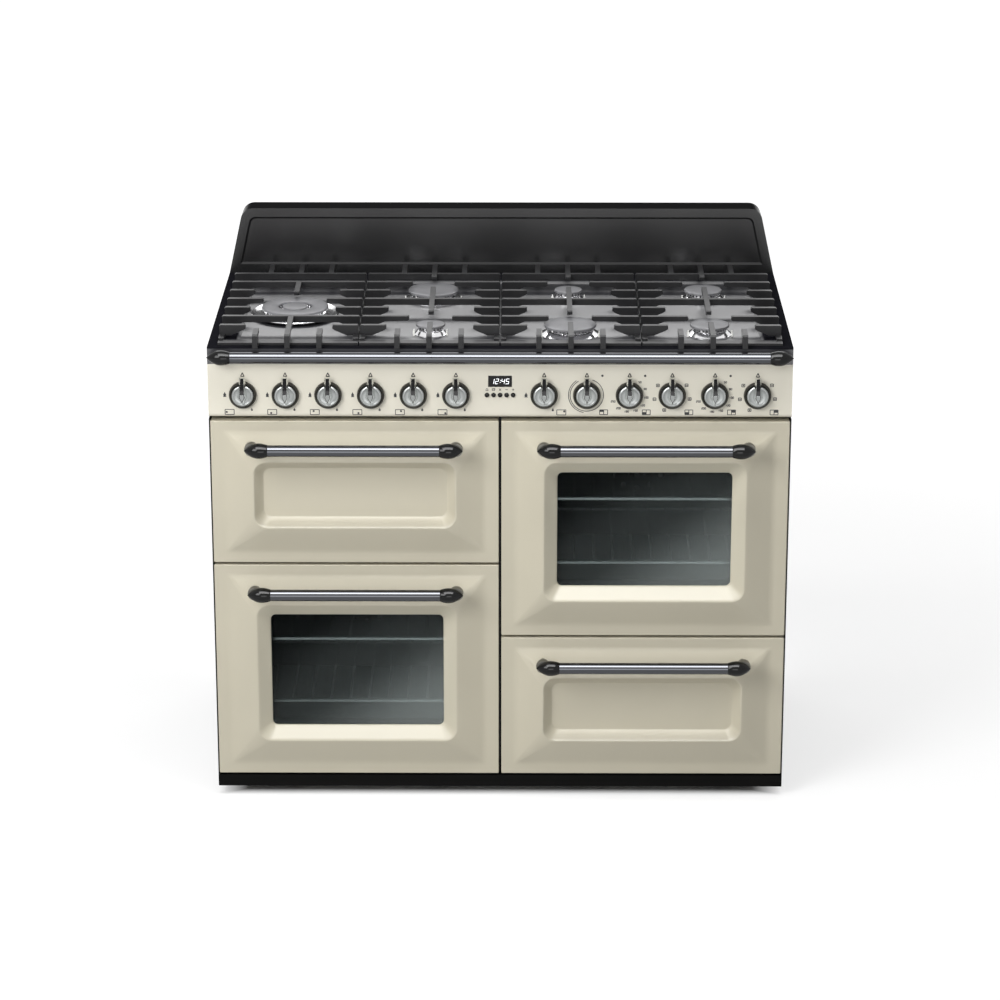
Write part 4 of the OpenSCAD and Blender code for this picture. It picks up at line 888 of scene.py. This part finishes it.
def button_icons(bm, y):
    """Bell, pan, cutlery, minus and plus over the five buttons."""
    xs = [sum(c.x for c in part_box(f"clock_button_{b}")) / 2 for b in range(1, 6)]
    z = KNOB_Z + 10.5 * MM
    line = 1.0 * MM
    bell = [(-2.6, -1.6), (-1.8, -0.8), (-1.6, 1.0), (0, 2.4), (1.6, 1.0), (1.8, -0.8),
            (2.6, -1.6), (-2.6, -1.6)]
    polyline(bm, [(xs[0] + px * MM, z + pz * MM) for px, pz in bell], line, y)
    pan = [(-2.4, 1.2), (-2.4, -1.6), (2.4, -1.6), (2.4, 1.2), (-2.4, 1.2)]
    polyline(bm, [(xs[1] + px * MM, z + pz * MM) for px, pz in pan], line, y)
    stroke(bm, (xs[1] - 3.2 * MM, z + 1.9 * MM), (xs[1] + 3.2 * MM, z + 1.9 * MM), line, y)
    for s in (-1, 1):
        stroke(bm, (xs[2] - 2 * s * MM, z - 2.2 * MM), (xs[2] + 2 * s * MM, z + 2.2 * MM), line, y)
    for x in xs[3:]:
        stroke(bm, (x - 2.2 * MM, z), (x + 2.2 * MM, z), line, y)
    stroke(bm, (xs[4], z - 2.2 * MM), (xs[4], z + 2.2 * MM), line, y)


def clock_face():
    """Lit time on the clock window."""
    low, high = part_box("clock_window")
    front = low.y
    size = 9.5 * MM
    z = (low.z + high.z) / 2 - size / 2

    def make(bm):
        x = -17.5 * MM
        for glyph in "1245":
            digit(bm, x, z, size, glyph, front)
            x += DIGIT_STEP
            if glyph == "2":
                # The colon after the hours
                for up in (0.3, 0.7):
                    disc_print(bm, x + 0.9 * MM + DIGIT_LEAN * size * up, z + size * up, 0.8 * MM,
                               front, 10)
                x += COLON_STEP

    make_object("clock_digits", make, [DIGITS], "root")


def clock_buttons():
    """Five round domed buttons, each with a collar that keeps it behind the fascia."""
    for b in range(1, 6):
        low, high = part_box(f"clock_button_{b}")
        x = (low.x + high.x) / 2
        out = FRONT - low.y
        radius = 4.2 * MM
        profile = [(0, -5.2 * MM), (radius, -5.2 * MM), (radius, -3.8 * MM), (5.5 * MM, -3.8 * MM),
                   (5.5 * MM, -2.3 * MM), (radius, -2.3 * MM), (radius, out * 0.6),
                   (radius * 0.93, out * 0.82), (radius * 0.72, out * 0.95), (0, out)]
        piece = make_object(f"button_{b}_dressed",
                            lambda bm: lathe(bm, profile, facing(x, KNOB_Z), 32),
                            [INLAY], f"clock_button_{b}", 40)
        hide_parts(f"clock_button_{b}")


# ---------- burners ----------

# Place across in sections, depth and cap diameter of each ring burner
BURNERS = [(-0.5, FRONT_ROW, 55 * MM), (-0.5, REAR_ROW, 100 * MM), (0.5, FRONT_ROW, 100 * MM),
           (0.5, REAR_ROW, 55 * MM), (1.5, FRONT_ROW, 75 * MM), (1.5, REAR_ROW, 75 * MM)]
WOK = (-1.5, WOK_ROW, 130 * MM)
BOWL_D = 171 * MM  # the wok burner's bowl
CAP_T = 5 * MM  # thickness of a cap
POT_DEPTH = 38 * MM  # from the rim down to a burner pot's underside
CAP_SEAT = CAP_TOP - CAP_T  # height of the caps' undersides above the rim
TOOTH = 0.62  # part of a crown's step that is metal; the rest is a flame port
BLOCK_FACES = ((0, 1, 2, 3), (7, 6, 5, 4), (0, 4, 5, 1), (1, 5, 6, 2), (2, 6, 7, 3), (3, 7, 4, 0))


def burner_place(section, depth):
    """Local frame of a burner, on the rim's height."""
    return Matrix.Translation((section * PITCH, FRONT + depth, RIM))


def crown(bm, matrix, r_in, r_out, low, high, count):
    """Ring of teeth with flame ports between them, under a cap."""
    for i in range(count):
        start = math.tau * i / count
        end = math.tau * (i + TOOTH) / count
        ring = []
        for a in (start, end):
            for r, z in ((r_in, low), (r_out, low), (r_out, high), (r_in, high)):
                ring.append(bm.verts.new(matrix @ Vector((r * math.cos(a), r * math.sin(a), z))))
        for quad in BLOCK_FACES:
            bm.faces.new([ring[q] for q in quad])


def burner_bodies():
    """Pots with their skirts and ported crowns, and the wok burner's bowl."""
    def ring_burner(bm, section, depth, d):
        r = d / 2
        matrix = burner_place(section, depth)
        profile = [(0, -POT_DEPTH), (0.3 * d - 1 * MM, -POT_DEPTH), (0.3 * d, -WELL_DEPTH),
                   (1.14 * r, -WELL_DEPTH), (1.14 * r, 1.2 * MM - WELL_DEPTH),
                   (1.1 * r, 1.8 * MM - WELL_DEPTH), (0.93 * r, -0.6 * MM), (0.9 * r, 0),
                   (0.8 * r, 0.8 * MM), (0.8 * r, 2.2 * MM), (0.62 * r, 2.4 * MM), (0, 2.4 * MM)]
        lathe(bm, profile, matrix, 72)
        crown(bm, matrix, 0.66 * r, 0.9 * r, 2.2 * MM, CAP_SEAT, max(16, round(d / MM / 2.6)))

    def wok_burner(bm):
        section, depth, d = WOK
        r, bowl = d / 2, BOWL_D / 2
        matrix = burner_place(section, depth)
        profile = [(0, -POT_DEPTH), (0.3 * d - 1 * MM, -POT_DEPTH), (0.3 * d, -WELL_DEPTH),
                   (0.86 * bowl, -WELL_DEPTH), (0.95 * bowl, -5 * MM), (bowl, -1 * MM),
                   (bowl - 1 * MM, 0), (bowl - 2.4 * MM, -0.4 * MM), (0.93 * bowl, -3.6 * MM),
                   (0.82 * bowl, 2.6 * MM - WELL_DEPTH), (0.9 * r, 3 * MM - WELL_DEPTH),
                   (0.9 * r, 1.5 * MM), (0.46 * r, 1.5 * MM), (0.42 * r, -1 * MM),
                   (0.3 * r, -1 * MM), (0.3 * r, 2 * MM), (0, 2 * MM)]
        lathe(bm, profile, matrix, 96)
        crown(bm, matrix, 0.8 * r, 0.94 * r, 1.5 * MM, CAP_SEAT, 60)
        crown(bm, matrix, 0.48 * r, 0.56 * r, 1.5 * MM, CAP_SEAT, 36)
        crown(bm, matrix, 0.2 * r, 0.32 * r, 2 * MM, CAP_SEAT, 20)

    def make(bm):
        for place in BURNERS:
            ring_burner(bm, *place)
        wok_burner(bm)

    piece = make_object("burner_rings", make, [ALLOY], "root", 32)
    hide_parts("burner_bodies")


def burner_caps():
    """Enamelled caps with rounded rims; the wok burner has a ring and a small cap."""
    def edge(r, out):
        """Rounded rim of a cap, from its underside to its top; out is -1 for an inner rim."""
        return [(r - 1.4 * MM * out, CAP_SEAT), (r, CAP_SEAT + 0.8 * MM), (r, CAP_TOP - 2.2 * MM),
                (r - 0.5 * MM * out, CAP_TOP - 1.0 * MM),
                (r - 1.5 * MM * out, CAP_TOP - 0.25 * MM), (r - 3 * MM * out, CAP_TOP)]

    def make(bm):
        for section, depth, d in BURNERS:
            r = d / 2
            profile = [(0, CAP_SEAT), *edge(r, 1), (r * 0.6, CAP_TOP), (0, CAP_TOP)]
            lathe(bm, profile, burner_place(section, depth), 72)
        section, depth, d = WOK
        matrix = burner_place(section, depth)
        r = d / 2
        lathe(bm, [(0, CAP_SEAT), *edge(0.38 * r, 1), (0, CAP_TOP)], matrix, 48)
        lathe(bm, [*edge(r, 1), *edge(r * 0.5, -1)[::-1]], matrix, 96, closed=True)

    piece = make_object("burner_lids", make, [CAPS], "root", 35)
    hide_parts("burner_caps")


def spark_plugs():
    """Ceramic igniter and thermocouple beside each burner."""
    def make(bm):
        for section, depth, d in BURNERS + [WOK]:
            matrix = burner_place(section, depth)
            r = 0.5 * d * 1.14 + 3.4 * MM if d < WOK[2] else 0.5 * BOWL_D + 4 * MM
            for angle, radius in ((205, 2.2 * MM), (335, 1.6 * MM)):
                a = math.radians(angle)
                spot = matrix @ Matrix.Translation((r * math.cos(a), r * math.sin(a), -WELL_DEPTH))
                lathe(bm, [(0, 0), (radius, 0), (radius, 8 * MM), (radius * 0.5, 9.5 * MM),
                           (radius * 0.5, 12.5 * MM), (0, 13 * MM)], spot, 16)

    make_object("igniters", make, [PALE], "root", 40)


# ---------- CAD nodes that keep their own shape ----------

EDGE_RADII = {"hob_top": 1.6, "splashback": 2.2, "plinth": 0.8, "control_fascia": 1.2,
              "clock_window": 0.4, "side_panels": 0.3,
              **{f"pan_support_{k}": 1.6 for k in range(1, 5)}}  # millimetres


def dress_nodes():
    """Materials for the CAD's own nodes, and softened edges where they show."""
    for name, material in NODE_MATERIALS.items():
        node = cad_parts[name]
        node.data.materials.clear()
        node.data.materials.append(material)
    for name, width in EDGE_RADII.items():
        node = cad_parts[name]
        add_bevel(node, width * MM, 3 if width > 1 else 2, 30)
        keep_flats(node)


def dress():
    """All pieces of the object."""
    dress_nodes()
    for door in ("left_door", "right_door"):
        pressing(door + "_front", door + "_panel", door, True, True)
        door_handle(door, door + "_handle", door)
    pressing("grill_door_front", "grill_door_panel", "grill_door", False, True)
    door_handle("grill_door", "grill_door_handle", "grill_door")
    pressing("drawer_face", "drawer_front", "drawer", False, False)
    door_handle("drawer", "drawer_handle", "drawer")
    front_rail()
    bezels()
    knobs()
    fascia_prints()
    clock_face()
    clock_buttons()
    burner_bodies()
    burner_caps()
    spark_plugs()


# ---------- stage, lamps and camera ----------

FLOOR_SIZE = 60
GLOW_REACH = (0.8, 3.6)  # how far out the floor's own white starts to grow, and stops
GLOW_SHARE = (0.66, 0.98)  # its share at these two distances
SHADE_BOX_Y = 260 * MM  # painted shade: the floor's white glow is cut away up to here, in front of and behind the middle
SHADE_BOX_EDGE = 0.90  # where that painted shade starts to fade, as a part of its size
AMBIENT = 0.16  # strength of the world as a light
SENSOR = 36.0  # camera: sensor in millimetres, focal length in sensor widths, angles in radians
FOCAL = 3.464
CAMERA_PLACE = (0.0318, -6.511, 2.697)
CAMERA_DOWN = 0.3226
CAMERA_TURN = 0.0051


def white_material():
    """Plain pale floor that the camera, metal and glass see as white, with soft shadows and a
    painted shade under the object.
    """
    material, tree = new_material("stage_white")
    shader = tree.nodes["Principled BSDF"]
    set_inputs(tree, shader, {"Base Color": (0.45, 0.45, 0.45, 1), "Roughness": 0.9,
                              "Specular IOR Level": 0.0})
    # The floor is white by itself far from the lamps; near the object its own shade shows
    place = coordinate(tree, "Object")
    distance = add_node(tree, "VectorMath", {0: place}, operation="LENGTH")
    share = add_range(tree, distance.outputs["Value"], *GLOW_REACH, *GLOW_SHARE,
                      interpolation_type="SMOOTHSTEP")
    # Painted shade: in a box under the object the floor's white glow is cut away, so that its
    # darker real lighting shows there
    span = add_node(tree, "VectorMath", {0: place}, operation="ABSOLUTE")
    parts = add_node(tree, "VectorMath", {0: span.outputs["Vector"], 1: (cad_high.x, SHADE_BOX_Y, 1)},
                     operation="DIVIDE")
    sides = add_split(tree, parts.outputs["Vector"])
    outside_shade_box = add_range(tree, add_math(tree, "MAXIMUM", sides["X"], sides["Y"]), SHADE_BOX_EDGE, 1.0)
    share = add_math(tree, "MULTIPLY", share, outside_shade_box)
    glow = add_node(tree, "Emission", {
        "Color": WHITE, "Strength": add_math(tree, "MULTIPLY", seen_white(tree), share)})
    add = add_node(tree, "AddShader", {0: shader.outputs["BSDF"], 1: glow.outputs["Emission"]})
    set_inputs(tree, tree.nodes["Material Output"], {"Surface": add.outputs["Shader"]})
    return material


def make_stage():
    """A wide flat floor."""
    bpy.ops.mesh.primitive_plane_add(size=FLOOR_SIZE)
    floor = bpy.context.object
    floor.name = "stage_floor"
    floor.data.materials.append(white_material())


def make_world():
    """A dim light from all round, which the camera, metal and glass see as white."""
    world = bpy.data.worlds.new("studio")
    bpy.context.scene.world = world
    world.use_nodes = True
    tree = world.node_tree
    ambient = tree.nodes["Background"]
    set_inputs(tree, ambient, {"Color": WHITE, "Strength": AMBIENT})
    white = add_node(tree, "Background", {"Color": WHITE, "Strength": 1.0})
    mix = add_node(tree, "MixShader", {"Fac": seen_white(tree), 1: ambient.outputs["Background"],
                                       2: white.outputs["Background"]})
    set_inputs(tree, tree.nodes["World Output"], {"Surface": mix.outputs["Shader"]})


def softbox(name, place, target, width, height, power, shine_only=False):
    """A rectangular lamp, or one that only shows in shiny surfaces and lights no colour."""
    light = bpy.data.lights.new(name, "AREA")
    light.shape = "RECTANGLE"
    light.size = width
    light.size_y = height
    light.energy = power
    lamp = bpy.data.objects.new(name, light)
    lamp.location = place
    lamp.rotation_euler = (Vector(target) - Vector(place)).to_track_quat("-Z", "Y").to_euler()
    lamp.visible_camera = False
    lamp.visible_diffuse = not shine_only
    bpy.context.scene.collection.objects.link(lamp)


def make_lamps():
    """Lamps by name, place, target, width, height and watts."""
    # Behind the hob stand two in one place, one for its light and one for its shine
    behind = ((0, 1.9, 2.7), (0, 0.0, 0.9), 3.0, 0.8)
    softbox("key", (-2.1, -2.8, 2.45), (0, -0.26, 0.45), 1.8, 1.8, 86)
    softbox("fill", (0.1, -3.6, 0.8), (0, -0.3, 0.75), 1.8, 1.0, 19)
    softbox("overhead", (0, -0.9, 3.0), (0, -0.45, 0.2), 2.6, 0.5, 34)
    softbox("rear", *behind, 26)
    softbox("shine", (0, -1.75, 2.9), (0, -0.35, 0.7), 2.8, 1.1, 130, shine_only=True)
    softbox("hob_shine", *behind, 125, shine_only=True)


def make_camera():
    """Camera at the photograph's viewing angle."""
    camera = bpy.data.cameras.new("camera")
    camera.sensor_width = SENSOR
    camera.lens = SENSOR * FOCAL
    camera.clip_end = 100.0
    holder = bpy.data.objects.new("camera", camera)
    bpy.context.scene.collection.objects.link(holder)
    holder.location = CAMERA_PLACE
    holder.rotation_euler = (math.pi / 2 - CAMERA_DOWN, 0, CAMERA_TURN)
    bpy.context.scene.camera = holder


make_camera()
make_stage()
make_world()
make_lamps()
dress()
bpy.context.scene.view_settings.view_transform = "Standard"
